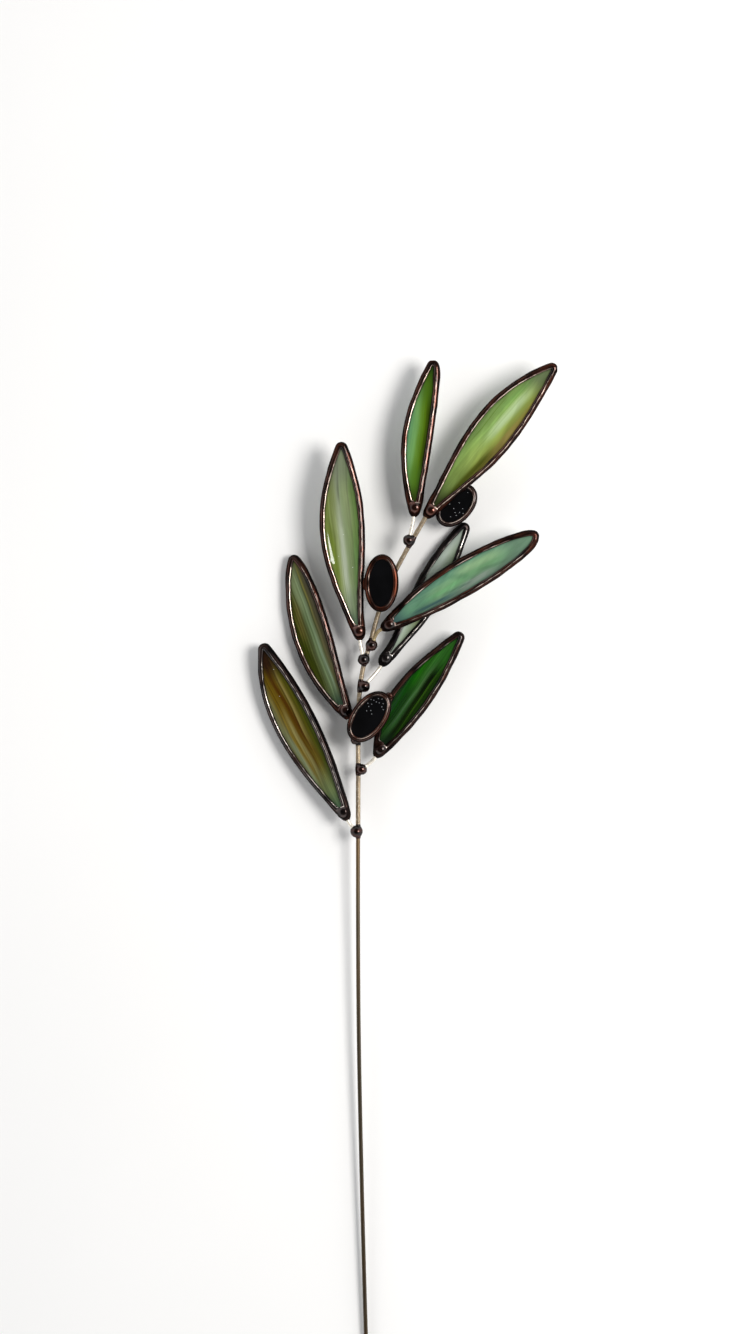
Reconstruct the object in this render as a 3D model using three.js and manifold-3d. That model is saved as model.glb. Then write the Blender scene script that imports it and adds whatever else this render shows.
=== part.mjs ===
// Stained-glass olive branch, lying on its back.
// Millimetres. X runs across the branch, Y from the cut end of the stem to the leaf tips, Z up from the
// surface. The shapes are laid out from the cut end of the stem, and moved at the end so that the origin is
// at the middle of the branch's box, on the surface.
import * as THREE from "three";
import { mergeVertices } from "three/addons/utils/BufferGeometryUtils.js";
import Module from "manifold-3d";

const wasm = await Module();
wasm.setup();
const { degToRad } = THREE.MathUtils;

// Glass and the solder round it
const GLASS_THICKNESS = 3;
const GLASS_LAP = 0.9;
const RIM_THICKNESS = 4.6;
const LEAF_RIM_WIDTH = 2.25;
const OLIVE_RIM_WIDTH = 2.05;
const RIM_INNER_EDGE = 0.1;
const RIM_FULLNESS = 0.8;
const RIM_ARC_DEGREES = 240;
const SEAT_GAP = 0.25;

// Rod and wires
const STEM_RADIUS = 0.85;
const STALK_RADIUS = 0.8;
const STALK_BEND = 1.2;

// Solder foot at the base of a leaf, as radius and distance along the leaf
const FOOT_LENGTH = 3.8;
const FOOT_PROFILE = [
  [0, 0],
  [1.1, 0],
  [1.35, 0.9],
  [1.9, 2.1],
  [2.35, 3.6],
  [2.2, 5.0],
  [1.4, 6.0],
  [0, 6.5],
];

// Fineness of the meshes
const SMALLEST_DETAIL = 0.03;
const MERGE_DISTANCE = 1e-4;
const HALVINGS = 30;
const EDGE_STEPS = 12;
const FAN_STEPS = 3;
const SECTION_POINTS = 7;
const OVAL_STEPS = 20;
const TUBE_SIDES = 8;
const STEM_STEPS = 36;
const STALK_STEPS = 4;
const BALL_SIDES = 10;
const BALL_RINGS = 7;

// Path of the stem's axis, from the cut end up to the foot of leaf 5
const STEM_PATH = [
  [4.6, 0, 0.6],
  [3.0, 46, 1.8],
  [1.4, 105, 3.3],
  [0.3, 160, 4.7],
  [0, 202, 5.7],
  [0, 236, 6.6],
  [0.1, 262, 7.3],
  [0.2, 286, 8.0],
  [1.6, 300.5, 8.4],
  [5.0, 313, 8.9],
  [8.1, 324.2, 9.4],
  [12.2, 335, 9.9],
  [17.7, 345.8, 10.6],
  [22.7, 354.6, 11.5],
  [26.4, 360.9, 12.0],
];

// Each leaf has the place of its base end, the bearing of its axis, its length, and the lift of its tip and
// of its right edge in degrees. The two handles of each side, as distance along and distance out, draw the
// edge of the glass that shows. The stalk runs to the foot from a bead on the stem, at a height along Y and a
// little aside.
const LEAVES = [
  {
    name: "leaf_1", base: [-3.6, 243, 6.6], bearing: -26, length: 76.2, tipLift: -1, edgeLift: 15,
    left: [[22, 5.5], [50.5, 15]], right: [[22.5, 4], [47.5, 7]],
    stalk: { height: 239.4, beadRadius: 2.4, beadOffset: -0.6 }, glass: 0x6b5518, rim: 0x3a3434,
  },
  {
    name: "leaf_2", base: [-3.3, 281.8, 5.85], bearing: -19, length: 67.8, tipLift: -3.2, edgeLift: 8,
    left: [[31.5, 16], [59, 4.5]], right: [[21, 1], [52, 5.5]],
    stalk: { height: 274.6, beadRadius: 1.8, beadOffset: -1.1 }, glass: 0x566a44, rim: 0x4a3634,
  },
  {
    name: "leaf_3", base: [0.8, 312.2, 9.2], bearing: -5.5, length: 77.2, tipLift: 3, edgeLift: 4,
    left: [[30, 9], [46.5, 15]], right: [[29, 0], [46, 9]],
    stalk: { height: 305.4, beadRadius: 2.3, beadOffset: -0.6 }, glass: 0x8a9a6c, rim: 0x4c3834,
  },
  {
    name: "leaf_4", base: [21.3, 359.6, 11.2], bearing: 7.3, length: 61.4, tipLift: 0, edgeLift: 4,
    left: [[24, 8], [37.5, 8.5]], right: [[13, 1], [56.5, 2.5]],
    stalk: { height: 350.8, beadRadius: 2.3, beadOffset: -1.1 }, glass: 0x4f8a38, rim: 0x4e3a34,
  },
  {
    name: "leaf_5", base: [25.2, 359.5, 12.0], bearing: 40.5, length: 78, tipLift: 2, edgeLift: 0,
    left: [[29, 6], [50, 14.5]], right: [[29.5, 3.5], [36.5, 9.5]],
    glass: 0x7fa85a, rim: 0x543c34,
  },
  {
    name: "leaf_6", base: [8.3, 316.8, 10.0], bearing: 58.5, length: 71.4, tipLift: 3, edgeLift: 0,
    left: [[32, 10.5], [66.5, 3]], right: [[26.5, 6.5], [66, 5.5]],
    stalk: { height: 311.3, beadRadius: 2.3, beadOffset: 0.7 }, glass: 0x64a07c, rim: 0x4c3834,
  },
  {
    name: "leaf_7", base: [8.4, 302.4, 5.5], bearing: 31, length: 65, tipLift: -3.1, edgeLift: -6,
    left: [[18.5, -2], [35.5, 7.5]], right: [[21, 3], [31.5, 8]],
    stalk: { height: 295.4, beadRadius: 2.3, beadOffset: 1.5 }, glass: 0x98a692, rim: 0x3e3838,
  },
  {
    name: "leaf_8", base: [6.2, 267.4, 6.9], bearing: 34.8, length: 59, tipLift: 0, edgeLift: 4,
    left: [[18.5, 10], [32, 9]], right: [[21, 4.5], [37, 5]],
    stalk: { height: 263.3, beadRadius: 2.2, beadOffset: 1.2 }, glass: 0x146410, rim: 0x3c3634,
  },
];

// Each olive has its middle, the bearing of its long axis and its two half sizes. Its ties are the lumps of
// solder on its edge, as place and radii, that hold it to the stem and to the pieces named.
const OLIVES = [
  {
    name: "olive_1", base: [9.0, 334.9, 13.4], bearing: 2, halfLength: 11.1, halfWidth: 6.6,
    ties: [
      { at: [8.6, 325.4, 10.7], radii: [1.7, 1.6, 1.8] },
      { at: [13.8, 339.4, 11.5], radii: [1.5, 1.7, 1.8] },
      { at: [2.9, 334.6, 12.3], radii: [1.2, 2.6, 1.5] },
    ],
    heldBy: ["leaf_3_rim"],
  },
  {
    name: "olive_2", base: [4.3, 283.6, 11.6], bearing: 36, halfLength: 11.1, halfWidth: 6.8,
    ties: [
      { at: [0.9, 275.4, 9.1], radii: [1.7, 1.6, 1.8] },
      { at: [1.3, 287.3, 9.5], radii: [1.3, 1.5, 1.6] },
      { at: [12.0, 291.6, 9.4], radii: [1.8, 1.4, 1.6] },
    ],
    heldBy: ["leaf_2_rim", "leaf_2_bead", "leaf_8_rim"],
  },
  {
    name: "olive_3", base: [37.9, 364.9, 7.5], bearing: 42, halfLength: 9.6, halfWidth: 6.4,
    ties: [
      { at: [32.7, 366.1, 9.9], radii: [1.7, 1.7, 1.3] },
      { at: [40.0, 371.7, 9.9], radii: [1.7, 1.7, 1.3] },
    ],
    heldBy: ["leaf_5_rim", "leaf_7_rim"],
  },
];

const COLORS = { stem: 0x8a7654, stalk: 0xc9bfae, bead: 0x3c3030, oliveGlass: 0x060607, oliveRim: 0x543c34 };
const FINISHES = {
  rod: { roughness: 0.45, metalness: 0.9 },
  wire: { roughness: 0.35, metalness: 1 },
  solder: { roughness: 0.35, metalness: 0.9 },
  glass: { roughness: 0.1, metalness: 0 },
};

// The branch rests on these three pieces, each with a small flat where it touches the surface.
const PIECES_ON_THE_SURFACE = ["stem", "leaf_2_rim", "leaf_7_rim"];
const BELOW_SURFACE = { width: 600, length: 1200, depth: 40 };

// Turns a closed geometry into a solid, whichever way round its faces are.
function toSolid(geometry) {
  const bare = new THREE.BufferGeometry();
  bare.setAttribute("position", geometry.getAttribute("position").clone());
  bare.setIndex(geometry.getIndex());
  const merged = mergeVertices(bare, MERGE_DISTANCE);
  const position = merged.getAttribute("position");
  const index = Array.from(merged.getIndex().array);
  const triangles = [];
  let volume = 0;
  const [a, b, c] = [new THREE.Vector3(), new THREE.Vector3(), new THREE.Vector3()];
  for (let i = 0; i < index.length; i += 3) {
    const [p, q, r] = index.slice(i, i + 3);
    if (p === q || q === r || r === p) continue;
    triangles.push([p, q, r]);
    a.fromBufferAttribute(position, p);
    b.fromBufferAttribute(position, q);
    c.fromBufferAttribute(position, r);
    volume += a.dot(b.cross(c));
  }
  const outward = volume > 0 ? triangles : triangles.map(([p, q, r]) => [p, r, q]);
  const mesh = new wasm.Mesh({
    numProp: 3,
    vertProperties: Float32Array.from(position.array),
    triVerts: Uint32Array.from(outward.flat()),
  });
  return new wasm.Manifold(mesh);
}

function toGeometry(solid) {
  const mesh = solid.simplify(SMALLEST_DETAIL).getMesh();
  const geometry = new THREE.BufferGeometry();
  geometry.setAttribute("position", new THREE.BufferAttribute(mesh.vertProperties, 3));
  geometry.setIndex(new THREE.BufferAttribute(mesh.triVerts, 1));
  geometry.computeVertexNormals();
  return geometry;
}

function union(solids) {
  return solids.reduce((whole, solid) => whole.add(solid));
}

function cut(solid, tools) {
  return tools.reduce((rest, tool) => rest.subtract(tool), solid);
}

function regularPolygon(radius, sides) {
  const corners = [];
  for (let i = 0; i < sides; i += 1) {
    const angle = (2 * Math.PI * i) / sides;
    corners.push(new THREE.Vector2(radius * Math.cos(angle), radius * Math.sin(angle)));
  }
  return new THREE.Shape(corners);
}

function tube(curve, radius, steps) {
  const section = regularPolygon(radius, TUBE_SIDES);
  return toSolid(new THREE.ExtrudeGeometry(section, { steps, extrudePath: curve }));
}

function ellipsoid(at, radii) {
  const ball = new THREE.SphereGeometry(1, BALL_SIDES, BALL_RINGS);
  return toSolid(ball.scale(...radii).translate(...at));
}

function ball(at, radius) {
  return ellipsoid(at, [radius, radius, radius]);
}

function placement({ base, bearing, tipLift = 0, edgeLift = 0 }) {
  return new THREE.Matrix4()
    .makeTranslation(...base)
    .multiply(new THREE.Matrix4().makeRotationZ(-degToRad(bearing)))
    .multiply(new THREE.Matrix4().makeRotationX(degToRad(tipLift)))
    .multiply(new THREE.Matrix4().makeRotationY(-degToRad(edgeLift)));
}

// Stations along one side: a point on the edge of the glass that shows, and the direction away from it.
function edgeStations(curve) {
  const stations = [];
  for (let i = 0; i < EDGE_STEPS; i += 1) {
    const along = i / (EDGE_STEPS - 1);
    const tangent = curve.getTangentAt(along);
    stations.push({ point: curve.getPointAt(along), out: new THREE.Vector2(-tangent.y, tangent.x) });
  }
  return stations;
}

// Stations that turn clockwise about a sharp end, between the last direction of one side and the first of the
// next.
function fanStations(before, after) {
  const start = before.out.angle();
  let turn = after.out.angle() - start;
  if (turn > 0) turn -= 2 * Math.PI;
  const stations = [];
  for (let i = 1; i < FAN_STEPS; i += 1) {
    const angle = start + (turn * i) / FAN_STEPS;
    stations.push({ point: before.point, out: new THREE.Vector2(Math.cos(angle), Math.sin(angle)) });
  }
  return stations;
}

function leafStations({ length, left, right }) {
  const foot = new THREE.Vector2(0, FOOT_LENGTH);
  const tip = new THREE.Vector2(0, length - LEAF_RIM_WIDTH);
  const [leftLow, leftHigh] = left.map(([along, out]) => new THREE.Vector2(-out, along));
  const [rightLow, rightHigh] = right.map(([along, out]) => new THREE.Vector2(out, along));
  const up = edgeStations(new THREE.CubicBezierCurve(foot, leftLow, leftHigh, tip));
  const down = edgeStations(new THREE.CubicBezierCurve(tip, rightHigh, rightLow, foot));
  return [...up, ...fanStations(up.at(-1), down[0]), ...down, ...fanStations(down.at(-1), up[0])];
}

function ovalStations({ halfLength, halfWidth }) {
  const [along, across] = [halfLength - OLIVE_RIM_WIDTH, halfWidth - OLIVE_RIM_WIDTH];
  const stations = [];
  for (let i = 0; i < OVAL_STEPS; i += 1) {
    const angle = (-2 * Math.PI * i) / OVAL_STEPS;
    const [x, y] = [Math.cos(angle), Math.sin(angle)];
    stations.push({
      point: new THREE.Vector2(across * x, along * y),
      out: new THREE.Vector2(along * x, across * y).normalize(),
    });
  }
  return stations;
}

// Section of a solder edge as distance out and height: two thirds of a full oval, with a wall at the glass.
function rimSection(width, grow) {
  const full = (value) => Math.sign(value) * Math.abs(value) ** RIM_FULLNESS;
  const section = [];
  for (let i = 0; i < SECTION_POINTS; i += 1) {
    const angle = degToRad(RIM_ARC_DEGREES * (i / (SECTION_POINTS - 1) - 0.5));
    const away = width / 3 + ((2 * width) / 3 + grow) * full(Math.cos(angle));
    section.push([Math.max(RIM_INNER_EDGE, away), (RIM_THICKNESS / 2 + grow) * full(Math.sin(angle))]);
  }
  return section;
}

function ringSolid(stations, width, grow = 0) {
  const section = rimSection(width, grow);
  const rows = stations.map(({ point, out }) =>
    section.map(([away, height]) => [point.x + out.x * away, point.y + out.y * away, height]));
  const index = [];
  for (let i = 0; i < rows.length; i += 1) {
    for (let j = 0; j < section.length; j += 1) {
      const [here, next] = [i * section.length, ((i + 1) % rows.length) * section.length];
      const over = (j + 1) % section.length;
      index.push(here + j, here + over, next + over, here + j, next + over, next + j);
    }
  }
  const geometry = new THREE.BufferGeometry();
  geometry.setAttribute("position", new THREE.Float32BufferAttribute(rows.flat(2), 3));
  geometry.setIndex(index);
  return toSolid(geometry);
}

// Flat plate with the outline of the stations moved out, centred on the leaf's own plane.
function plate(stations, away, thickness) {
  const outline = stations.map(({ point, out }) => point.clone().addScaledVector(out, away));
  const options = { depth: thickness, bevelEnabled: false };
  const geometry = new THREE.ExtrudeGeometry(new THREE.Shape(outline), options);
  return toSolid(geometry.translate(0, 0, -thickness / 2));
}

function footSolid() {
  const profile = FOOT_PROFILE.map(([radius, along]) => new THREE.Vector2(radius, along));
  return toSolid(new THREE.LatheGeometry(profile, BALL_SIDES));
}

function stemCurve(extra = 0) {
  const points = STEM_PATH.map((place) => new THREE.Vector3(...place));
  const last = points.at(-1);
  const direction = last.clone().sub(points.at(-2)).normalize();
  last.addScaledVector(direction, extra);
  return new THREE.CatmullRomCurve3(points, false, "centripetal");
}

// Point on the stem's axis at a height along Y, by halving the span of the curve.
function stemPoint(height) {
  const curve = stemCurve();
  let [low, high] = [0, 1];
  for (let i = 0; i < HALVINGS; i += 1) {
    const middle = (low + high) / 2;
    if (curve.getPoint(middle).y < height) low = middle;
    else high = middle;
  }
  return curve.getPoint(low);
}

function beadPlace({ height, beadOffset }) {
  return stemPoint(height).add(new THREE.Vector3(beadOffset, 0, 0));
}

// Curve of a stalk, from the middle of its bead to just short of the leaf's foot, where it runs along the
// leaf's axis. Extra lengthens it at the bead.
function stalkCurve(leaf, extra = 0) {
  const matrix = placement(leaf);
  const bend = new THREE.Vector3(0, -SEAT_GAP - STALK_BEND, 0).applyMatrix4(matrix);
  const end = new THREE.Vector3(0, -SEAT_GAP, 0).applyMatrix4(matrix);
  const start = beadPlace(leaf.stalk);
  start.addScaledVector(start.clone().sub(bend).normalize(), extra);
  return new THREE.QuadraticBezierCurve3(start, bend, end);
}

const meshes = [];
const { width, length, depth } = BELOW_SURFACE;
const belowSurface = toSolid(new THREE.BoxGeometry(width, length, depth).translate(0, 0, -depth / 2));

function addPiece(name, solid, color, finish) {
  const shape = PIECES_ON_THE_SURFACE.includes(name) ? solid.subtract(belowSurface) : solid;
  const mesh = new THREE.Mesh(toGeometry(shape), new THREE.MeshStandardMaterial({ color, ...finish }));
  mesh.name = name;
  meshes.push(mesh);
}

const stem = tube(stemCurve(), STEM_RADIUS, STEM_STEPS);
const stemBore = tube(stemCurve(SEAT_GAP), STEM_RADIUS + SEAT_GAP, STEM_STEPS);
addPiece("stem", stem, COLORS.stem, FINISHES.rod);

// Room kept round the pieces that an olive is tied to.
const rooms = {};
for (const leaf of LEAVES) {
  const stations = leafStations(leaf);
  const matrix = placement(leaf).elements;
  const pane = plate(stations, GLASS_LAP, GLASS_THICKNESS).transform(matrix);
  const groove = plate(stations, GLASS_LAP + SEAT_GAP, GLASS_THICKNESS + 2 * SEAT_GAP);
  const edge = union([ringSolid(stations, LEAF_RIM_WIDTH), footSolid()]).subtract(groove).transform(matrix);
  if (leaf.stalk) {
    const stalk = tube(stalkCurve(leaf), STALK_RADIUS, STALK_STEPS).subtract(stemBore);
    const bore = tube(stalkCurve(leaf, SEAT_GAP), STALK_RADIUS + SEAT_GAP, STALK_STEPS);
    const place = beadPlace(leaf.stalk).toArray();
    const bead = ball(place, leaf.stalk.beadRadius);
    rooms[`${leaf.name}_bead`] = ball(place, leaf.stalk.beadRadius + SEAT_GAP);
    addPiece(`${leaf.name}_stalk`, stalk, COLORS.stalk, FINISHES.wire);
    addPiece(`${leaf.name}_bead`, cut(bead, [stemBore, bore]), COLORS.bead, FINISHES.solder);
  }
  addPiece(`${leaf.name}_glass`, pane, leaf.glass, FINISHES.glass);
  addPiece(`${leaf.name}_rim`, edge.subtract(stemBore), leaf.rim, FINISHES.solder);
  const room = ringSolid(stations, LEAF_RIM_WIDTH, SEAT_GAP).add(plate(stations, GLASS_LAP, RIM_THICKNESS));
  rooms[`${leaf.name}_rim`] = room.transform(matrix);
}

for (const olive of OLIVES) {
  const stations = ovalStations(olive);
  const matrix = placement(olive).elements;
  const pane = plate(stations, GLASS_LAP, GLASS_THICKNESS).transform(matrix);
  const groove = plate(stations, GLASS_LAP + SEAT_GAP, GLASS_THICKNESS + 2 * SEAT_GAP).transform(matrix);
  const ties = olive.ties.map(({ at, radii }) => ellipsoid(at, radii));
  const edge = union([ringSolid(stations, OLIVE_RIM_WIDTH).transform(matrix), ...ties]);
  const neighbours = olive.heldBy.map((name) => rooms[name]);
  addPiece(`${olive.name}_glass`, pane, COLORS.oliveGlass, FINISHES.glass);
  const rim = cut(edge, [groove, stemBore, ...neighbours]);
  addPiece(`${olive.name}_rim`, rim, COLORS.oliveRim, FINISHES.solder);
}

const group = new THREE.Group();
group.name = "stained_glass_olive_branch";
group.add(...meshes);
const box = new THREE.Box3().setFromObject(group);
const middle = box.getCenter(new THREE.Vector3());
for (const mesh of meshes) {
  mesh.geometry.translate(-middle.x, -middle.y, -box.min.z);
}

export default group;
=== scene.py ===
"""Looks of a stained-glass olive branch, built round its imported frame.

Eight leaves and three olives of flat glass are edged in solder and joined to a thin rod. Shapes are drawn in
millimetres, as X across the branch, Y from the cut end of the rod to the leaf tips and Z up from the surface,
and are put in place in metres.
"""

import bpy
import numpy as np
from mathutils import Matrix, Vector


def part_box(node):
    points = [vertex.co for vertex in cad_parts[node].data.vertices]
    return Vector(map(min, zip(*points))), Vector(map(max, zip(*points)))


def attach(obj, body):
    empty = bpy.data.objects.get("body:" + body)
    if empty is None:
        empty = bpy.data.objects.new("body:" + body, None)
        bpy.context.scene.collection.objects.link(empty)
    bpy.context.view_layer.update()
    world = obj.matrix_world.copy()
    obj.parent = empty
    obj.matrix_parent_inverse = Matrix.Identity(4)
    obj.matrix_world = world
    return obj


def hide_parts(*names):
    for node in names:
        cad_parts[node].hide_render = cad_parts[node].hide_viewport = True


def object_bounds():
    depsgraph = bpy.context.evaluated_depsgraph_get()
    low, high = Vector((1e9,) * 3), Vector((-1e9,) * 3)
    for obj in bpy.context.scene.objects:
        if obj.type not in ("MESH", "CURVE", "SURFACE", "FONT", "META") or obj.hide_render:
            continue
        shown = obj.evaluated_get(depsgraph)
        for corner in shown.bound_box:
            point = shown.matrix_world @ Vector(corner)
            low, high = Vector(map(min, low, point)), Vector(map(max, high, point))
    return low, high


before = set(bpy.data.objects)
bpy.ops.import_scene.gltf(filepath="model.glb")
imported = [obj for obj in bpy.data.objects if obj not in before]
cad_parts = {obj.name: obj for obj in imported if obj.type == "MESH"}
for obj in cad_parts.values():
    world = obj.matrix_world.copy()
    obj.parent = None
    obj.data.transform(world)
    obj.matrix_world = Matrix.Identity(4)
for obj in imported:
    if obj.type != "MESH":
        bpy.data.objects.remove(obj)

bl_info = {
    "name": "Stained-glass olive branch",
    "version": (1, 0, 0),
    "blender": (4, 5, 0),
    "location": "3D View > Sidebar > Olive branch",
    "description": "Streaky glass leaves and black olives, edged in solder on a thin rod",
    "category": "Add Mesh",
}

CAD_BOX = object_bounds()
MILLIMETRE = 0.001
BODY = "root"

# Where the drawing's origin lies in the row frame, from a pane that isn't tilted
OLIVE_1_MIDDLE = (9.0, 334.9, 13.4)
ORIGIN = np.mean(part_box("olive_1_glass"), axis=0) / MILLIMETRE - OLIVE_1_MIDDLE

# Glass and solder, as drawn
GLASS_THICKNESS = 3.0
GLASS_LAP = 0.8
LEAF_EDGE_WIDTH = 2.25
OLIVE_EDGE_WIDTH = 2.05
EDGE_HEIGHT = 2.3
EDGE_FULLNESS = 0.8
CONTACT_HEIGHT = 1.42
FOOT_START = 3.8
# Foot of solder on a stalk's end: where it starts, the half width that it grows to, the distance over which
# it grows, its thickness as a share of its width, and how far its outline is looked for
FOOT_END = 0.4
FOOT_WIDTH = 2.8
FOOT_GROWTH = 1.7
FOOT_FLATNESS = 0.68
FOOT_SEARCH = 6.0
FOOT_SEARCH_STEPS = 900
# Round the foot: how far down a station faces where the edge turns into the hanging drop, the least that the
# edge reaches out, and the least share sideways with which the way to the leaf's axis is worked out
DROP_FACES = (0.3, 0.85)
FOOT_LEAST = 0.5
SIDEWAYS_LEAST = 0.1
# Ball of solder on each foot: how far along the leaf and above its middle, on the front and behind
BALL_ALONG = 4.4
BALL_RADIUS = 2.4
BALL_RISE = 1.75
BALL_FRONT = 1.2
BALL_BACK = 0.6
# Share of the ball's radius where it turns into a cone, and the fillet where it meets the edge
BALL_BEND = 0.95
BALL_FILLET = 0.22
# Where the solder closes over the glass above the foot, how high it lies there, and how far it has closed
# while it rises to that height
CLOSED_BELOW = 5.9
OPEN_ABOVE = 7.4
WEB_HEIGHT = 1.75
WEB_RISES = (0.8, 1.0)
# How much lower a leaf's edge is at its foot, and how much wider at its foot and its tip, each with the
# stretch of the leaf over which it changes
LOW_AT_FOOT = 0.6
LOW_STRETCH = (6, 11)
WIDE_AT_FOOT = 0.35
WIDE_STRETCH = (4, 15)
WIDE_AT_TIP = 0.2
TIP_STRETCH = 14
CORNER_END = 8
# Lumps of the solder: the shortest and longest waves of its width, height, crest, contact and skin, the
# size of the last three, and how far a lump's share narrows and lowers the edge
WIDTH_WAVES = (7, 22)
HEIGHT_WAVES = (8, 20)
CREST_WAVES = (9, 24)
CONTACT_WAVES = (5, 16)
SKIN_WAVES = (5, 14)
CREST_LUMP = 1.2
CONTACT_LUMP = 2.0
SKIN_LUMP = 0.45
NARROWED = 0.3
LOWERED = 0.6
# The most whole turns that a wave may make round a section
MOST_TURNS = 2
# Within this height or turn of an edge's closing lines, its additions fade out
CLOSING = 0.8
# Ripples of the glass: the waves along, and the waves across over a stretch that holds any leaf
LONG_RIPPLES = (9, 26)
CROSS_RIPPLES = (5, 12)
CROSS_LOOP = 30
RIPPLE_SLANT = 5
# Rod: the lumps and the waves of its tin, half the stretch over which the tin starts, and how far its cut
# end is worn
TIN_LUMP = 0.014
TIN_WAVES = (1.6, 4.5)
TIN_START = 0.6
CUT_END = 0.86
# Bead: how far it runs past its ball along the rod, the radius and swell of its sleeve on the rod and how far
# the swell's oval runs past the ends, the fillet between ball and sleeve, the radius of the ball's circles
# over which it starts, and its lumps
BEAD_PAST_BALL = 0.35
SLEEVE_RADIUS = 0.8
SLEEVE_SWELL = 0.3
SLEEVE_PAST_END = 0.01
BEAD_FILLET = 0.3
BALL_FADE = (0.2, 0.9)
BEAD_LUMP = 0.01
BEAD_WAVES = (2, 5)
# Stalk: where along the leaf its curve is pulled to, ends and is buried, and its flare at the bead
STALK_PULL = -1.45
STALK_END = -0.25
STALK_BURIED = 2.4
FLARE = 0.25
FLARE_LENGTH = 0.2
FLARE_FROM = 0.95
# Lumps that tie the olives down
TIE_LUMP = 0.03
TIE_WAVES = (0.8, 2)

# Fineness of the meshes
CURVE_POINTS = 400
SIDE_STATIONS = 170
TIP_STATIONS = 16
FOOT_STATIONS = 30
OLIVE_STATIONS = 150
SECTION_POINTS = 26
PANE_ROWS = 90
PANE_COLUMNS = 28
WAVE_COUNT = 9
EDGE_CROWDING = 0.35
ROD_SPAN_STEPS = 60
ROD_SPACING = 0.75
ROD_SIDES = 18
BEAD_RINGS = 56
BEAD_SIDES = 40
STALK_STEPS = 50
STALK_RINGS = 70
STALK_SIDES = 20
TIE_RINGS = 18
TIE_SIDES = 24
WELD_DIGITS = 4
SHARP_DEGREES = 50

# Path of the rod's axis, from the cut end up to the foot of leaf 5
ROD_PATH = (
    (4.6, 0, 0.6),
    (3.0, 46, 1.8),
    (1.4, 105, 3.3),
    (0.3, 160, 4.7),
    (0, 202, 5.7),
    (0, 236, 6.6),
    (0.1, 262, 7.3),
    (0.2, 286, 8.0),
    (1.6, 300.5, 8.4),
    (5.0, 313, 8.9),
    (8.1, 324.2, 9.4),
    (12.2, 335, 9.9),
    (17.7, 345.8, 10.6),
    (22.7, 354.6, 11.5),
    (26.4, 360.9, 12.0),
)
TINNED_FROM = 239.4
TAN_STALK = "leaf_6"

# Each leaf: the place of its base end, the bearing of its axis, its length, the lift of its tip and of its
# right edge in degrees, and the two handles of each side of the glass as distance along and distance out.
# A stalk is the height of its bead on the rod, the bead's radius and its offset to the right.
LEAVES = {
    "leaf_1": {
        "base": (-3.6, 243, 6.6), "bearing": -26, "length": 76.2, "tip_lift": -1, "edge_lift": 15,
        "left": ((22, 5.5), (50.5, 15)), "right": ((22.5, 4), (47.5, 7)), "stalk": (239.4, 2.4, -0.6),
    },
    "leaf_2": {
        "base": (-3.3, 281.8, 5.85), "bearing": -19, "length": 67.8, "tip_lift": -3.2, "edge_lift": 8,
        "left": ((31.5, 16), (59, 4.5)), "right": ((21, 1), (52, 5.5)), "stalk": (274.6, 1.8, -1.1),
    },
    "leaf_3": {
        "base": (0.8, 312.2, 9.2), "bearing": -5.5, "length": 77.2, "tip_lift": 3, "edge_lift": 4,
        "left": ((30, 9), (46.5, 15)), "right": ((29, 0), (46, 9)), "stalk": (305.4, 2.3, -0.6),
    },
    "leaf_4": {
        "base": (21.3, 359.6, 11.2), "bearing": 7.3, "length": 61.4, "tip_lift": 0, "edge_lift": 4,
        "left": ((24, 8), (37.5, 8.5)), "right": ((13, 1), (56.5, 2.5)), "stalk": (350.8, 2.3, -1.1),
    },
    "leaf_5": {
        "base": (25.2, 359.5, 12.0), "bearing": 40.5, "length": 78, "tip_lift": 2, "edge_lift": 0,
        "left": ((29, 6), (50, 14.5)), "right": ((29.5, 3.5), (36.5, 9.5)), "stalk": None,
    },
    "leaf_6": {
        "base": (8.3, 316.8, 10.0), "bearing": 58.5, "length": 71.4, "tip_lift": 3, "edge_lift": 0,
        "left": ((32, 10.5), (66.5, 3)), "right": ((26.5, 6.5), (66, 5.5)), "stalk": (311.3, 2.3, 0.7),
    },
    "leaf_7": {
        "base": (8.4, 302.4, 5.5), "bearing": 31, "length": 65, "tip_lift": -3.1, "edge_lift": -6,
        "left": ((18.5, -2), (35.5, 7.5)), "right": ((21, 3), (31.5, 8)), "stalk": (295.4, 2.3, 1.5),
    },
    "leaf_8": {
        "base": (6.2, 267.4, 6.9), "bearing": 34.8, "length": 59, "tip_lift": 0, "edge_lift": 4,
        "left": ((18.5, 10), (32, 9)), "right": ((21, 4.5), (37, 5)), "stalk": (263.3, 2.2, 1.2),
    },
}

# Each olive: its middle, the bearing of its long axis, its half length and half width, and the lumps of
# solder that tie it down, as place and radii
OLIVES = {
    "olive_1": {
        "base": OLIVE_1_MIDDLE, "bearing": 2, "half": (11.1, 6.6),
        "ties": (
            ((8.6, 325.4, 10.7), (1.7, 1.6, 1.8)),
            ((13.8, 339.4, 11.5), (1.5, 1.7, 1.8)),
            ((2.9, 334.6, 12.3), (1.2, 2.6, 1.5)),
        ),
    },
    "olive_2": {
        "base": (4.3, 283.6, 11.6), "bearing": 36, "half": (11.1, 6.8),
        "ties": (
            ((0.9, 275.4, 9.1), (1.7, 1.6, 1.8)),
            ((1.3, 287.3, 9.5), (1.3, 1.5, 1.6)),
            ((12.0, 291.6, 9.4), (1.8, 1.4, 1.6)),
        ),
    },
    "olive_3": {
        "base": (37.9, 364.9, 7.5), "bearing": 42, "half": (9.6, 6.4),
        "ties": (
            ((32.7, 366.1, 9.9), (1.7, 1.7, 1.3)),
            ((40.0, 371.7, 9.9), (1.7, 1.7, 1.3)),
        ),
    },
}

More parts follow.
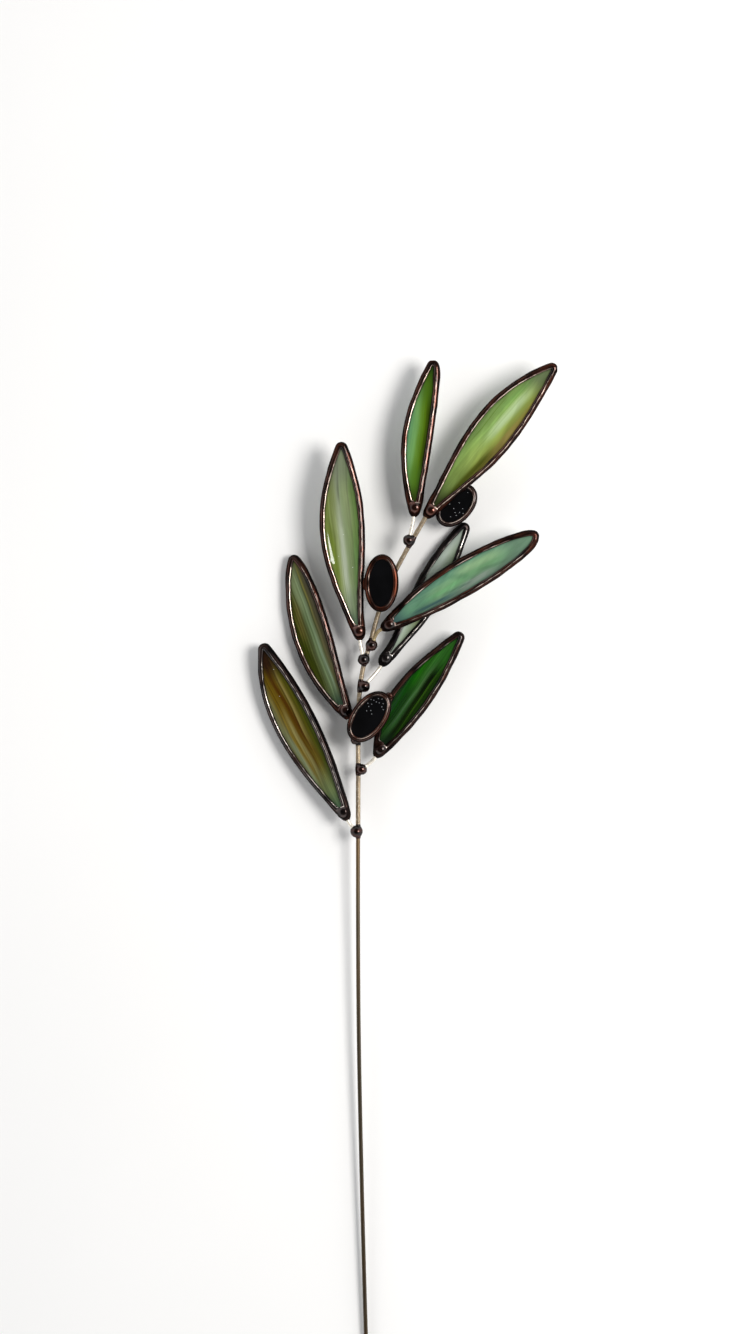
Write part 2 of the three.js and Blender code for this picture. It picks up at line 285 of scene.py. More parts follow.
# Streaky glass of each leaf. The ground runs across the leaf as distance from its axis and colour. Each wash
# of another colour lies at a distance across at its lower end and at its upper end, from one height to
# another, with a half width, colour and strength. The wide dark wash from below each leaf's foot to some 15
# to 20 up it is painted shade round the solder at the foot. Lines, wisps and lean set how much fine parallel
# streaks and cloudy ones show, and how far the clouds lean.
GLASS = {
    "leaf_1": {
        "ground": ((-8, "6a6c48"), (-5.5, "6a5e2a"), (-4, "6a5616"), (-1.6, "4e3602"), (0.5, "5e561e"),
                   (2.3, "454206"), (4, "3a4410")),
        "washes": (
            (-1.2, -4.2, 8, 56, 1.1, "827c4c", 0.75), (1.4, -3.8, 18, 78, 0.9, "442600", 0.85),
            (0.7, 0.0, 30, 74, 0.8, "766a3c", 0.8), (-3.6, -7.0, 6, 48, 1.3, "76866a", 0.7),
            (1.6, 3.2, 4, 42, 0.9, "3c4816", 0.5), (-0.5, -1.5, -12, 27, 7.0, "647850", 0.75),
            (0.0, 0.0, -10, 15, 7.0, "34503f", 0.8), (-1.5, -1.5, 59, 86, 7.0, "241006", 0.95),
            (-5.4, -3.6, 42, 72, 1.3, "584404", 0.85),
        ),
        "lines": 0.6, "wisps": 0.1, "lean": 0.0,
    },
    "leaf_2": {
        "ground": ((-9, "2c3202"), (-6.6, "363c08"), (-5.2, "464c20"), (-4, "525c38"), (-2.5, "5c6c4a"),
                   (-1.2, "647456"), (0, "505030"), (1.2, "48442e"), (2.6, "36342a")),
        "washes": (
            (-3.6, -1.4, 42, 68, 1.7, "727e5a", 0.75), (-6.6, -4.4, 32, 54, 1.6, "564e24", 0.7),
            (-4.4, -7.2, 10, 38, 1.3, "262e00", 0.8), (-0.9, -1.4, 10, 38, 0.6, "7a8e74", 0.65),
            (-0.2, -0.5, 26, 62, 0.3, "384020", 0.7), (0.4, 0.2, 36, 70, 0.35, "6c6832", 0.75),
            (-1.5, -1.0, 56, 78, 6.0, "585a34", 0.5), (0.0, 0.0, -8, 16, 7.0, "22382c", 0.9),
        ),
        "lines": 0.6, "wisps": 0.1, "lean": 0.0,
    },
    "leaf_3": {
        "ground": ((-9, "647334"), (-7, "67743a"), (-5.4, "737e4b"), (-4, "828d60"), (-2.8, "8d977a"),
                   (-1.2, "7b8a64"), (0.5, "6f8053"), (2, "627944"), (4.4, "57733c")),
        "washes": (
            (-2.0, -3.6, 12, 56, 1.1, "a2ab97", 0.7), (-4.6, -7.6, 16, 50, 1.3, "5f7022", 0.75),
            (0.8, 0.2, 40, 68, 1.8, "7e8864", 0.6), (-2.6, -1.8, 52, 76, 0.7, "555c47", 0.65),
            (-1.0, -1.0, 56, 88, 7.0, "686f5c", 0.7), (0.4, 2.4, 14, 44, 1.4, "5a7c47", 0.6),
            (-1.0, 0.0, 2, 24, 7.0, "66775e", 0.5), (0.0, 0.0, -8, 15, 7.0, "425747", 0.85),
        ),
        "lines": 0.35, "wisps": 0.2, "lean": 0.05,
    },
    "leaf_4": {
        "ground": ((-7, "588d64"), (-5, "608e58"), (-3.3, "669251"), (-2, "587d2c"), (-0.8, "4b6a0f"),
                   (0.5, "324502"), (2, "1b2800")),
        "washes": (
            (-6.0, -6.0, 12, 48, 1.0, "568e64", 0.4), (-1.0, 0.0, 40, 70, 6.0, "385a13", 0.65),
            (0.0, 0.0, 52, 72, 6.0, "1b3b0d", 0.7), (-1.0, -1.0, 4, 24, 6.0, "3f6620", 0.45),
            (0.0, 0.0, -8, 15, 6.0, "24300b", 0.9),
        ),
        "lines": 0.15, "wisps": 0.12, "lean": 0.05,
    },
    "leaf_5": {
        "ground": ((-8.5, "627d41"), (-6, "6c8749"), (-3.6, "7e9d54"), (-1.3, "8ca55e"), (1.2, "849347"),
                   (3.2, "787435"), (5.4, "5e5221")),
        "washes": (
            (-1.5, -0.7, 36, 68, 1.8, "acc095", 0.75), (-5.2, -2.4, 46, 78, 1.6, "668d4a", 0.6),
            (-5.3, -5.9, 28, 62, 0.3, "546e2b", 0.7), (-3.0, -4.4, 40, 58, 0.25, "84a55e", 0.5),
            (-1.0, -1.0, 12, 42, 4.0, "859745", 0.5), (3.8, 3.9, 30, 56, 1.3, "8b7a47", 0.6),
            (-1.0, 0.0, 4, 30, 6.0, "566a31", 0.65), (0.6, 3.8, 0, 46, 1.6, "3b4106", 0.9),
            (-1.0, -1.0, 60, 90, 6.0, "546045", 0.9), (0.0, 0.0, -14, 20, 6.0, "232913", 0.95),
        ),
        "lines": 0.2, "wisps": 0.3, "lean": 0.2,
    },
    "leaf_6": {
        "ground": ((-6, "54806b"), (-3.8, "618b70"), (-1.8, "6d946d"), (0, "658f65"), (1.8, "618065"),
                   (3.6, "5e7463"), (5.2, "546b5e")),
        "washes": (
            (-3.4, -2.0, 32, 60, 1.8, "89a97e", 0.75), (2.8, 2.4, 32, 52, 1.3, "808981", 0.65),
            (-0.6, 0.3, 16, 42, 1.0, "679c6b", 0.65), (-5.2, 1.8, 30, 43, 1.6, "4d7658", 0.45),
            (0.0, 2.6, 42, 60, 0.7, "527256", 0.6), (0.8, 3.0, 26, 42, 0.6, "456352", 0.6),
            (-1.0, -1.0, 2, 28, 6.0, "497465", 0.55), (1.2, 3.2, 10, 36, 1.0, "324e50", 0.85),
            (-1.0, -1.0, 50, 84, 7.0, "637d6b", 0.75), (0.0, 0.0, -8, 15, 6.0, "344d50", 0.9),
        ),
        "lines": 0.12, "wisps": 0.35, "lean": 0.3,
    },
    "leaf_7": {
        "ground": ((-5, "9aa59a"), (-2.6, "a9b5aa"), (-0.6, "acb7ab"), (1, "99a793"), (2.4, "829278"),
                   (3.6, "76845a")),
        "washes": (
            (2.0, 3.0, 16, 48, 1.2, "8e965e", 0.6), (-1.0, -1.0, 50, 76, 6.0, "929e95", 0.6),
            (0.0, 0.0, -6, 14, 6.0, "909a94", 0.6),
        ),
        "lines": 0.12, "wisps": 0.2, "lean": 0.1,
    },
    "leaf_8": {
        "ground": ((-7, "1a3a18"), (-5.4, "0a4a02"), (-3.6, "185006"), (-2.2, "2c5820"), (-1.2, "284c22"),
                   (-0.2, "102402"), (0.8, "040e00"), (2, "163202"), (4, "0a2402")),
        "washes": (
            # The first wash below, pale grey-green, is a painted reflection on the glass
            (-2.2, -1.6, 10, 34, 0.4, "4c6a4a", 0.8), (-1.2, -0.7, 22, 52, 0.4, "3c5c30", 0.6),
            (0.4, 0.9, 24, 50, 0.6, "020a00", 0.8), (-0.5, 0.0, 38, 66, 4.2, "265a1a", 0.8),
            (-3.2, -4.0, 4, 38, 1.8, "0c240a", 0.85), (-5.2, -5.8, 8, 30, 0.5, "28482e", 0.6),
            (1.4, 2.0, 12, 44, 0.3, "28440a", 0.7), (2.6, 2.2, 14, 40, 0.5, "173402", 0.6),
            (-2.9, -2.4, 16, 40, 0.25, "0e2a0a", 0.6),
            (0.0, 0.0, -8, 15, 6.0, "0a1c0c", 0.8),
        ),
        "lines": 0.85, "wisps": 0.1, "lean": 0.0,
    },
}
# Where a pane's left edge curls up: from and to along the leaf, how far in and how high, and the stretch
# over which a curl starts
CURLS = {"leaf_3": (29.0, 66.0, 3.0, 0.95)}
NO_CURL = (0.0, 1.0, 1.0, 0.0)
CURL_START = 2
# Where an olive is pitted: the middle and the radius of the patch, and the share of places that are pitted
PITTED = {"olive_2": (-0.3, 4.3, 4.6, 0.4), "olive_3": (1.0, 1.0, 6.0, 0.25)}
NOT_PITTED = (0.0, 0.0, 1.0, 0.0)

# Warmth and shade of the patina on the beads, and the distance out from the glass at which solder is half
# polished
BEAD_WARMTH = 1.0
BEAD_SHADE = 0.55
HALF_POLISHED = 1.4
# How much farther out the painted highlight line lies on the right of a leaf and round an olive
LEAF_SHIFT = 0.64
OLIVE_SHIFT = 0.26
# Half way point of solder that has no left side
ALL_RIGHT = -100.0
# Solder finish of each edge: record slot, warmth of the patina from grey to copper, how polished it is on the
# left and on the right, which also sets how much painted highlight line it carries, and lumpiness
EDGE_FINISHES = {
    "leaf_1": ("dark_solder", 0.25, (0.6, 1.25), 0.6),
    "leaf_2": ("copper_solder", 0.8, (0.9, 1.0), 1.1),
    "leaf_3": ("copper_solder", 0.9, (0.9, 1.1), 0.9),
    "leaf_4": ("copper_solder", 1.0, (0.7, 1.1), 0.9),
    "leaf_5": ("copper_solder", 1.0, (1.3, 0.9), 0.9),
    "leaf_6": ("copper_solder", 0.8, (0.45, 0.55), 1.0),
    "leaf_7": ("dark_solder", 0.1, (0.4, 0.75), 1.0),
    "leaf_8": ("dark_solder", 0.5, (0.35, 0.6), 1.1),
    "olive_1": ("copper_solder", 1.0, (0.35, 0.35), 0.7),
    "olive_2": ("copper_solder", 0.9, (0.5, 0.5), 0.7),
    "olive_3": ("copper_solder", 0.7, (0.55, 0.55), 0.7),
}
# Finish of glass and metal
GLASS_IOR = 1.52
FOIL_BLACK = (0.004, 0.004, 0.004, 1.0)
# Painted glints in the pits of the glass, pale on the leaves and grey on the olives
PALE_GLINT = (0.8, 0.85, 0.8, 1.0)
GREY_GLINT = (0.5, 0.52, 0.55, 1.0)
SOLDER_TINT = (0.3, 0.28, 0.27, 1.0)
# Noise in the glass, as waves a millimetre across and along the leaf
DRIFT_WAVES = (0.05, 0.045)
LINE_WAVES = (1.5, 0.02)
CLOUD_WAVES = (0.3, 0.06)
# Bands of a solder edge in millimetres out from the glass, each from where it is absent to where it is full
FOIL_BAND = (0.12, 0.04)
CROWN_INSIDE = (0.05, 0.35)
CROWN_OUTSIDE = (1.65, 1.2)
# Painted highlight line on the solder: its middle, its wander either way, the distance off it at which it is
# gone and full, and the height up the edge over which it appears
LIT_LINE_MIDDLE = 0.38
LIT_LINE_WANDER = 0.1
LIT_LINE_BAND = (0.21, 0.05)
LIT_LINE_RISE = (1.0, 1.6)

# Studio: half the floor in metres and its squares a side, the key light's place from the branch, size, power
# and colour, and the ceiling from overhead down to the sides
FLOOR_REACH = 3.0
FLOOR_SQUARES = 6
KEY_PLACE = (0.62, 0.13, 0.84)
KEY_SIZE = (0.47, 0.41)
KEY_POWER = 9.2
KEY_COLOUR = (1.0, 0.985, 0.96)
CEILING_BAND = (0.8, 0.45)
CEILING_STRENGTH = (0.06, 1.4)
CEILING_COLOUR = (0.97, 0.985, 1.0, 1.0)
# Camera at the photograph's angle: straight down on the branch, with its frame's middle and height as drawn
VIEW_MIDDLE = (6.54, 302.7, 9.0)
VIEW_HEIGHT = 513.1
VIEW_DISTANCE = 2200.0
NEAR_CLIP = 0.01


def tint(code):
    """Scene-linear colour of a hexadecimal sRGB code."""
    shares = [int(code[i : i + 2], 16) / 255 for i in (0, 2, 4)]
    linear = [s / 12.92 if s <= 0.04045 else ((s + 0.055) / 1.055) ** 2.4 for s in shares]
    return (*linear, 1.0)


# Shapes


def stacked(*columns):
    """Coordinates side by side as points, each stretched to the shape that all of them have together."""
    return np.stack(np.broadcast_arrays(*columns), axis=-1)


def unit(vectors):
    """Vectors divided by their lengths."""
    return vectors / np.linalg.norm(vectors, axis=-1, keepdims=True)


def turns(sides):
    """Angles round a section."""
    return (2 * np.pi * np.arange(sides) / sides)[None]


def smooth_step(value, low, high):
    """0 below low, 1 above high, and 3 t squared minus 2 t cubed between."""
    t = np.clip((value - low) / (high - low), 0, 1)
    return t * t * (3 - 2 * t)


def smooth_max(a, b, fillet):
    """The larger of two heights, with a fillet: the mean of both plus half the root of their squared
    difference and the squared fillet."""
    return 0.5 * (a + b + np.sqrt((a - b) ** 2 + fillet**2))


def ripple(random, along, loop, shortest, longest, around=None):
    """Smooth random wave of about 1 either way: sines with whole numbers of waves round the loop and random
    phases, each of which may also turn with the angle round a section."""
    waves = np.round(loop / random.uniform(shortest, longest, WAVE_COUNT))
    angle = 2 * np.pi * waves * along[..., None] / loop + random.uniform(0, 2 * np.pi, WAVE_COUNT)
    if around is not None:
        angle = angle + random.integers(-MOST_TURNS, MOST_TURNS + 1, WAVE_COUNT) * around[..., None]
    return np.sin(angle).sum(-1) / np.sqrt(WAVE_COUNT / 2)


def turn_matrix(piece):
    """Turn by the bearing about Z, after the tip's lift about X, after the right edge's lift about Y."""
    b, t, e = np.radians([piece["bearing"], piece.get("tip_lift", 0), piece.get("edge_lift", 0)])
    bearing = np.array([[np.cos(b), np.sin(b), 0], [-np.sin(b), np.cos(b), 0], [0, 0, 1]])
    tip = np.array([[1, 0, 0], [0, np.cos(t), -np.sin(t)], [0, np.sin(t), np.cos(t)]])
    edge = np.array([[np.cos(e), 0, -np.sin(e)], [0, 1, 0], [np.sin(e), 0, np.cos(e)]])
    return bearing @ tip @ edge


def put(piece, local):
    """Drawing points of a piece's own points: its turn, then its base."""
    return local @ turn_matrix(piece).T + piece["base"]


def cubic(p0, p1, p2, p3):
    """Points of a cubic Bezier curve."""
    t = np.linspace(0, 1, CURVE_POINTS)[:, None]
    p0, p1, p2, p3 = (np.array(p, float) for p in (p0, p1, p2, p3))
    return (1 - t) ** 3 * p0 + 3 * (1 - t) ** 2 * t * p1 + 3 * (1 - t) * t**2 * p2 + t**3 * p3


def leaf_sides(leaf):
    """The left and the right edge of the glass that shows, both from the foot to the tip."""
    foot, tip = (0, FOOT_START), (0, leaf["length"] - LEAF_EDGE_WIDTH)
    left = cubic(foot, *((-out, along) for along, out in leaf["left"]), tip)
    right = cubic(foot, *((out, along) for along, out in leaf["right"]), tip)
    return left, right


def lengths(points):
    """Distance along a line at each of its points."""
    steps = np.linalg.norm(np.diff(points, axis=0), axis=1)
    return np.concatenate([[0], np.cumsum(steps)])


def points_at(at, along, points):
    """Points on a line where the measure along it has the values asked for."""
    return stacked(*(np.interp(at, along, column) for column in points.T))


def spaced(points, count, crowding=1.0):
    """A line's points again, evenly spaced, or closer at the start: the share of the length is a blend of the
    share of the count and its square, weighed by the crowding."""
    along = lengths(points)
    share = np.linspace(0, 1, count)
    return points_at(along[-1] * (crowding * share + (1 - crowding) * share**2), along, points)


def stations(line):
    """Points of one side of a leaf, closer at its foot, and the directions away from a pane on its right: its
    tangent turned a quarter to the left."""
    points = spaced(line, SIDE_STATIONS, EDGE_CROWDING)
    tangent = unit(np.gradient(points, axis=0))
    return points, stacked(-tangent[:, 1], tangent[:, 0])


def fan(point, before, after, count):
    """Directions that turn clockwise about one point, between two others."""
    start = np.arctan2(before[1], before[0])
    turn = -((start - np.arctan2(after[1], after[0])) % (2 * np.pi))
    angle = start + turn * np.arange(1, count + 1) / (count + 1)
    return np.tile(point, (count, 1)), stacked(np.cos(angle), np.sin(angle))


def leaf_stations(leaf):
    """Stations clockwise round a leaf: up the left side, round the tip, down the right side, round the foot.
    Also tells which of them go round the foot."""
    left, right = leaf_sides(leaf)
    up, down = stations(left), stations(right)
    down = (down[0][::-1], -down[1][::-1])
    tip = fan(left[-1], up[1][-1], down[1][0], TIP_STATIONS)
    foot = fan(left[0], down[1][-1], up[1][0], FOOT_STATIONS)
    points, out = (np.vstack(parts) for parts in zip(up, tip, down, foot))
    return points, out, np.arange(len(points)) >= len(points) - FOOT_STATIONS


def olive_stations(olive):
    """Stations clockwise round an oval."""
    long, wide = (half - OLIVE_EDGE_WIDTH for half in olive["half"])
    angle = -2 * np.pi * np.arange(OLIVE_STATIONS) / OLIVE_STATIONS
    points = stacked(wide * np.cos(angle), long * np.sin(angle))
    return points, unit(stacked(long * np.cos(angle), wide * np.sin(angle)))


def solder_section(turn, width, height, crest, contact, floor):
    """Section of a solder edge as distance out from the glass edge and height: a full oval quarter from the
    crest out to the rim's middle, and a smaller one from the crest in to the contact with the glass, mirrored
    below."""
    cosine, sine = np.cos(turn), np.sin(turn)
    inner = cosine < 0
    reach = np.where(inner, crest - contact, width - crest)
    base = np.where(inner, floor, 0)
    away = crest + reach * np.sign(cosine) * np.abs(cosine) ** EDGE_FULLNESS
    rise = base + (height - base) * np.abs(sine) ** EDGE_FULLNESS
    return away, np.where(turn >= 0, rise, -rise)


def foot_width(y):
    """Half width of a foot, like a hanging drop: the full width times 1 minus the exponential of the distance
    from its end, to the power 0.75."""
    return FOOT_WIDTH * (1 - np.exp(-np.clip(y - FOOT_END, 0, None) / FOOT_GROWTH)) ** 0.75


def foot_height(x, y):
    """Half thickness of a foot: an oval across, as flat everywhere."""
    width = np.maximum(foot_width(y), 0.001)
    return FOOT_FLATNESS * width * np.sqrt(1 - np.clip(np.abs(x) / width, 0, 1) ** 2)


def foot_reach(out):
    """Distance from the foot's middle to the foot's outline in each direction."""
    reach = np.linspace(0, FOOT_SEARCH, FOOT_SEARCH_STEPS)
    x = out[:, :1] * reach
    y = FOOT_START + out[:, 1:] * reach
    inside = (y > FOOT_END) & (np.abs(x) <= foot_width(y))
    return reach[inside.shape[1] - 1 - inside[:, ::-1].argmax(axis=1)]


def ball_height(x, y, centre):
    """Height of the ball of solder on a foot: half an ellipsoid, which ends in a steep cone."""
    far = np.hypot(x, y - BALL_ALONG) / BALL_RADIUS
    ball = np.sqrt(1 - np.minimum(far, BALL_BEND) ** 2)
    slope = BALL_BEND / np.sqrt(1 - BALL_BEND**2)
    return centre + BALL_RISE * (ball - slope * np.clip(far - BALL_BEND, 0, None))


def leaf_section(points, out, at_foot, wide, high, crest, contact):
    """A leaf edge's section as it nears the foot: it gets wider toward both ends of the leaf, lower at the
    foot, and closes over the glass there. Also returns the floor and how far the edge has closed."""
    side, y = (~at_foot)[:, None], points[:, 1:]
    tip = y.max()
    wide = wide + WIDE_AT_FOOT * (1 - smooth_step(y, *WIDE_STRETCH))
    wide = wide + WIDE_AT_TIP * smooth_step(y, tip - TIP_STRETCH, tip)
    at_corner = np.where(side, 1 - smooth_step(y, FOOT_START, CORNER_END), 1)
    wide = wide + (np.maximum(foot_reach(out)[:, None], FOOT_LEAST) - wide) * at_corner
    high = high - LOW_AT_FOOT * (1 - smooth_step(y, *LOW_STRETCH))
    closed = 1 - smooth_step(y, CLOSED_BELOW, OPEN_ABOVE)
    sideways = out[:, :1]
    to_axis = -points[:, :1] / np.where(np.abs(sideways) < SIDEWAYS_LEAST, 1, sideways)
    contact = np.where(side, contact + (to_axis - contact) * closed, 0)
    crest = np.where(side, crest, LEAF_EDGE_WIDTH / 3)
    floor = CONTACT_HEIGHT + (WEB_HEIGHT - CONTACT_HEIGHT) * smooth_step(closed, *WEB_RISES)
    return wide, high, crest, contact, floor, closed


def foot_rise(x, y, rise, turn, drop):
    """A leaf edge's height where it turns into the foot's drop and carries the ball, which fades out where
    the edge closes at its middle."""
    height = np.abs(rise)
    height = height + (foot_height(x, y) - height) * drop
    ball = np.where(turn >= 0, ball_height(x, y, BALL_FRONT), ball_height(x, y, BALL_BACK))
    height = height + (smooth_max(height, ball, BALL_FILLET) - height) * np.clip(height / CLOSING, 0, 1)
    return np.where(turn >= 0, height, -height)


def solder_ring(points, out, width, random, lump, at_foot=None):
    """A solder edge in a piece's own points: a lumpy section carried round the stations. Near a foot, the
    edge closes over the glass and swells into a ball and a drop that runs down the stalk. Also returns each
    point's distance along the edge, out from the glass and up."""
    ring = np.vstack([points + out, points[:1] + out[:1]])
    along = lengths(ring)
    loop, along = along[-1], along[:-1, None]
    turn = np.linspace(np.pi, -np.pi, SECTION_POINTS)[None]

    def lumps(waves, around=None):
        return ripple(random, along, loop, *waves, around)

    wide = width + lump * (lumps(WIDTH_WAVES) - NARROWED)
    high = EDGE_HEIGHT + lump * (lumps(HEIGHT_WAVES) - LOWERED)
    crest = width / 3 + CREST_LUMP * lump * lumps(CREST_WAVES)
    contact = CONTACT_LUMP * lump * lumps(CONTACT_WAVES)
    floor = CONTACT_HEIGHT
    if at_foot is not None:
        section = leaf_section(points, out, at_foot, wide, high, crest, contact)
        wide, high, crest, contact, floor, closed = section
    away, rise = solder_section(turn, wide, high, crest, contact, floor)
    skin = SKIN_LUMP * lump * lumps(SKIN_WAVES, turn)
    skin = skin * np.clip((np.pi - np.abs(turn)) / CLOSING, 0, 1)
    away = away + skin * np.cos(turn)
    rise = rise + skin * np.sin(turn)
    x = points[:, :1] + out[:, :1] * away
    y = points[:, 1:] + out[:, 1:] * away
    if at_foot is not None:
        drop = np.where(at_foot[:, None], smooth_step(-out[:, 1:], *DROP_FACES), 0)
        rise = foot_rise(x, y, rise, turn, drop)
        away = np.maximum(away, HALF_POLISHED * closed)
    return stacked(x, y, rise), stacked(along, away, rise)


def pane_slab(low, high, left, right, ripples):
    """A pane as a closed flat tube: rows along the leaf, each running over the front from left to right and
    back behind, with the front and the back rippled. Also returns each point's place in the leaf, with its
    distance in from the solder."""
    share = 0.5 - 0.5 * np.cos(np.linspace(0, np.pi, PANE_ROWS + 2)[1:-1])
    y = (low + (high - low) * share)[:, None]
    across = 0.5 - 0.5 * np.cos(np.linspace(0, np.pi, PANE_COLUMNS))
    across = np.concatenate([across, across[::-1]])[None]
    front = np.repeat([1, -1], PANE_COLUMNS)[None]
    x = left(y) + (right(y) - left(y)) * across
    edge = np.minimum(across, 1 - across) * (right(y) - left(y))
    z = front * (GLASS_THICKNESS / 2 + ripples(x, y, front) * np.clip(edge, 0, 1))
    depth = np.minimum(edge - GLASS_LAP, np.minimum(y - low, high - y) - GLASS_LAP)
    return stacked(x, y, z), stacked(x, y, depth)


def glass_ripples(random, sizes, length):
    """Ripples of rolled glass, as a function of place: long waves across and along."""
    seeds = random.integers(0, 1 << 30, 2)
    height = sizes.glass_ripple / MILLIMETRE

    def height_at(x, y, front):
        waves, across = (np.random.default_rng(seed) for seed in seeds)
        long = ripple(waves, y, length, *LONG_RIPPLES, x / RIPPLE_SLANT)
        return height * (long + 0.5 * ripple(across, x, CROSS_LOOP, *CROSS_RIPPLES))

    return height_at


def round_end(y, low, high):
    """How far the glass under the solder draws in at both ends: a half circle of the lap's radius."""
    beyond = np.clip(np.maximum(low - y, y - high) / GLASS_LAP, 0, 1)
    return GLASS_LAP * np.sqrt(1 - beyond**2)


def leaf_pane(leaf, random, sizes, curl):
    """Pane of a leaf: its two sides are the edges that show, moved out under the solder. Where it curls, the
    front rises toward the left edge as a parabola."""
    left, right = leaf_sides(leaf)
    low, high = FOOT_START, leaf["length"] - LEAF_EDGE_WIDTH
    ripples = glass_ripples(random, sizes, leaf["length"])
    start, end, reach, height = curl

    def left_side(y):
        return np.interp(y, left[:, 1], left[:, 0])

    def rise(x, y, front):
        within = smooth_step(y, start, start + CURL_START) * (1 - smooth_step(y, start + CURL_START, end))
        inward = np.clip(1 - np.clip(x - left_side(y), 0, None) / reach, 0, 1)
        return ripples(x, y, front) + height * within * inward**2 * (front > 0)

    return pane_slab(
        low - GLASS_LAP,
        high + GLASS_LAP,
        lambda y: left_side(y) - round_end(y, low, high),
        lambda y: np.interp(y, right[:, 1], right[:, 0]) + round_end(y, low, high),
        rise,
    )


def olive_pane(olive, random, sizes):
    """Pane of an olive: an oval, the root of 1 minus the squared share of its half length wide."""
    long, wide = (half - OLIVE_EDGE_WIDTH + GLASS_LAP for half in olive["half"])

    def half_width(y):
        return wide * np.sqrt(np.clip(1 - (y / long) ** 2, 0, None))

    ripples = glass_ripples(random, sizes, 2 * long)
    return pane_slab(-long, long, lambda y: -half_width(y), half_width, ripples)


def rod_line():
    """Axis of the rod: a centripetal Catmull-Rom curve. In each span it is a cubic whose end slopes weigh the
    neighbouring points by the roots of their distances."""
    points = np.array(ROD_PATH, float)
    p = np.vstack([2 * points[0] - points[1], points, 2 * points[-1] - points[-2]])
    gap = np.sqrt(np.linalg.norm(np.diff(p, axis=0), axis=1))[:, None]
    before, here, after = gap[:-2], gap[1:-1], gap[2:]
    p0, p1, p2, p3 = p[:-3], p[1:-2], p[2:-1], p[3:]
    slope_1 = here * ((p1 - p0) / before - (p2 - p0) / (before + here) + (p2 - p1) / here)
    slope_2 = here * ((p2 - p1) / here - (p3 - p1) / (here + after) + (p3 - p2) / after)
    t = np.linspace(0, 1, ROD_SPAN_STEPS, endpoint=False)[None, :, None]
    p1, p2, slope_1, slope_2 = (a[:, None] for a in (p1, p2, slope_1, slope_2))
    spans = (
        (2 * t**3 - 3 * t**2 + 1) * p1
        + (t**3 - 2 * t**2 + t) * slope_1
        + (3 * t**2 - 2 * t**3) * p2
        + (t**3 - t**2) * slope_2
    )
    return np.vstack([spans.reshape(-1, 3), points[-1:]])


def rod_point(height):
    """Point on the rod's axis at a height along Y, and the rod's direction there."""
    line = rod_line()
    slope = unit(np.gradient(line, axis=0))
    return points_at(height, line[:, 1], line), unit(points_at(height, line[:, 1], slope))


def tube(line, radius, tangent=None):
    """Points of a tube: each is the line's point plus the radius times the cosine of the turn along the side
    direction and the sine along the up direction. Radius has a row for each point and a column for each turn.
    Unless a tangent is given, the line's own is taken."""
    tangent = unit(np.gradient(line, axis=0)) if tangent is None else tangent
    side = unit(np.cross(tangent, (0, 0, 1)))
    up = np.cross(side, tangent)
    turn = turns(radius.shape[1])[..., None]
    ring = np.cos(turn) * side[..., None, :] + np.sin(turn) * up[..., None, :]
    return line[:, None] + radius[..., None] * ring


def grid_triangles(rows, columns, open_rows=True):
    """Triangles of a grid whose columns close on themselves, and whose rows do too unless open."""
    i, j = np.meshgrid(np.arange(rows - 1 if open_rows else rows), np.arange(columns), indexing="ij")
    down, over = (i + 1) % rows, (j + 1) % columns
    a, b, c, d = (r * columns + k for r, k in ((i, j), (i, over), (down, over), (down, j)))
    return np.concatenate([stacked(a, b, c).reshape(-1, 3), stacked(a, c, d).reshape(-1, 3)])


def closed_tube(grid, places=None):
    """Surface of a grid of rows with its two ends closed by a point in the middle of each: its points, its
    triangles and the places that its material reads."""
    rows, columns = grid.shape[:2]
    places = np.zeros_like(grid) if places is None else places
    points, places = (np.vstack([p.reshape(-1, 3), p[0].mean(0), p[-1].mean(0)]) for p in (grid, places))
    j = np.arange(columns)
    over = (j + 1) % columns
    first, last, top = rows * columns, rows * columns + 1, (rows - 1) * columns
    ends = [stacked(over, j, first), stacked(top + j, top + over, last)]
    return points, np.concatenate([grid_triangles(rows, columns), *ends]), places


def bead_surface(name, stalk):
    """A bead of solder on the rod: at each height along the rod, the larger of a snug sleeve and of the
    circle that cuts a ball beside the rod, seen from the rod's axis, with a small fillet."""
    height, radius, offset = stalk
    point, direction = rod_point(height)
    reach = radius + BEAD_PAST_BALL
    a = (-reach * np.cos(np.linspace(0, np.pi, BEAD_RINGS)))[:, None]
    turn = turns(BEAD_SIDES)
    circle = np.sqrt(np.clip(radius**2 - a**2, 0, None))
    ball = offset * np.cos(turn) + np.sqrt(np.clip(circle**2 - (offset * np.sin(turn)) ** 2, 0, None))
    ball = ball * smooth_step(circle, *BALL_FADE)
    far = np.clip(np.abs(a) / (reach + SLEEVE_PAST_END), 0, 1)
    sleeve = SLEEVE_RADIUS + SLEEVE_SWELL * np.sqrt(1 - far**2)
    swell = 1 + BEAD_LUMP * ripple(seeded(name, "bead"), a, 2 * reach, *BEAD_WAVES, turn)
    size = smooth_max(ball, sleeve, BEAD_FILLET) * swell
    points, triangles, _ = closed_tube(tube(point + a * direction, size, direction))
    return points, triangles, stacked(points[:, 0], HALF_POLISHED, points[:, 1])


def stalk_surface(leaf, radius):
    """A stalk: a tube along a quadratic Bezier curve from the bead's middle into the foot, where it runs
    along the leaf's axis, with a flare at the bead that falls off as an exponential."""
    height, bead_radius, offset = leaf["stalk"]
    start = rod_point(height)[0] + (offset, 0, 0)
    pull, end, inside = (put(leaf, np.array([0, y, 0])) for y in (STALK_PULL, STALK_END, STALK_BURIED))
    t = np.linspace(0, 1, STALK_STEPS)[:, None]
    line = (1 - t) ** 2 * start + 2 * (1 - t) * t * pull + t**2 * end
    line = spaced(np.vstack([line, inside]), STALK_RINGS)
    along = lengths(line)[:, None]
    flare = FLARE * np.exp(-np.clip(along - FLARE_FROM * bead_radius, 0, None) / FLARE_LENGTH)
    return closed_tube(tube(line, np.tile(radius + flare, (1, STALK_SIDES))))


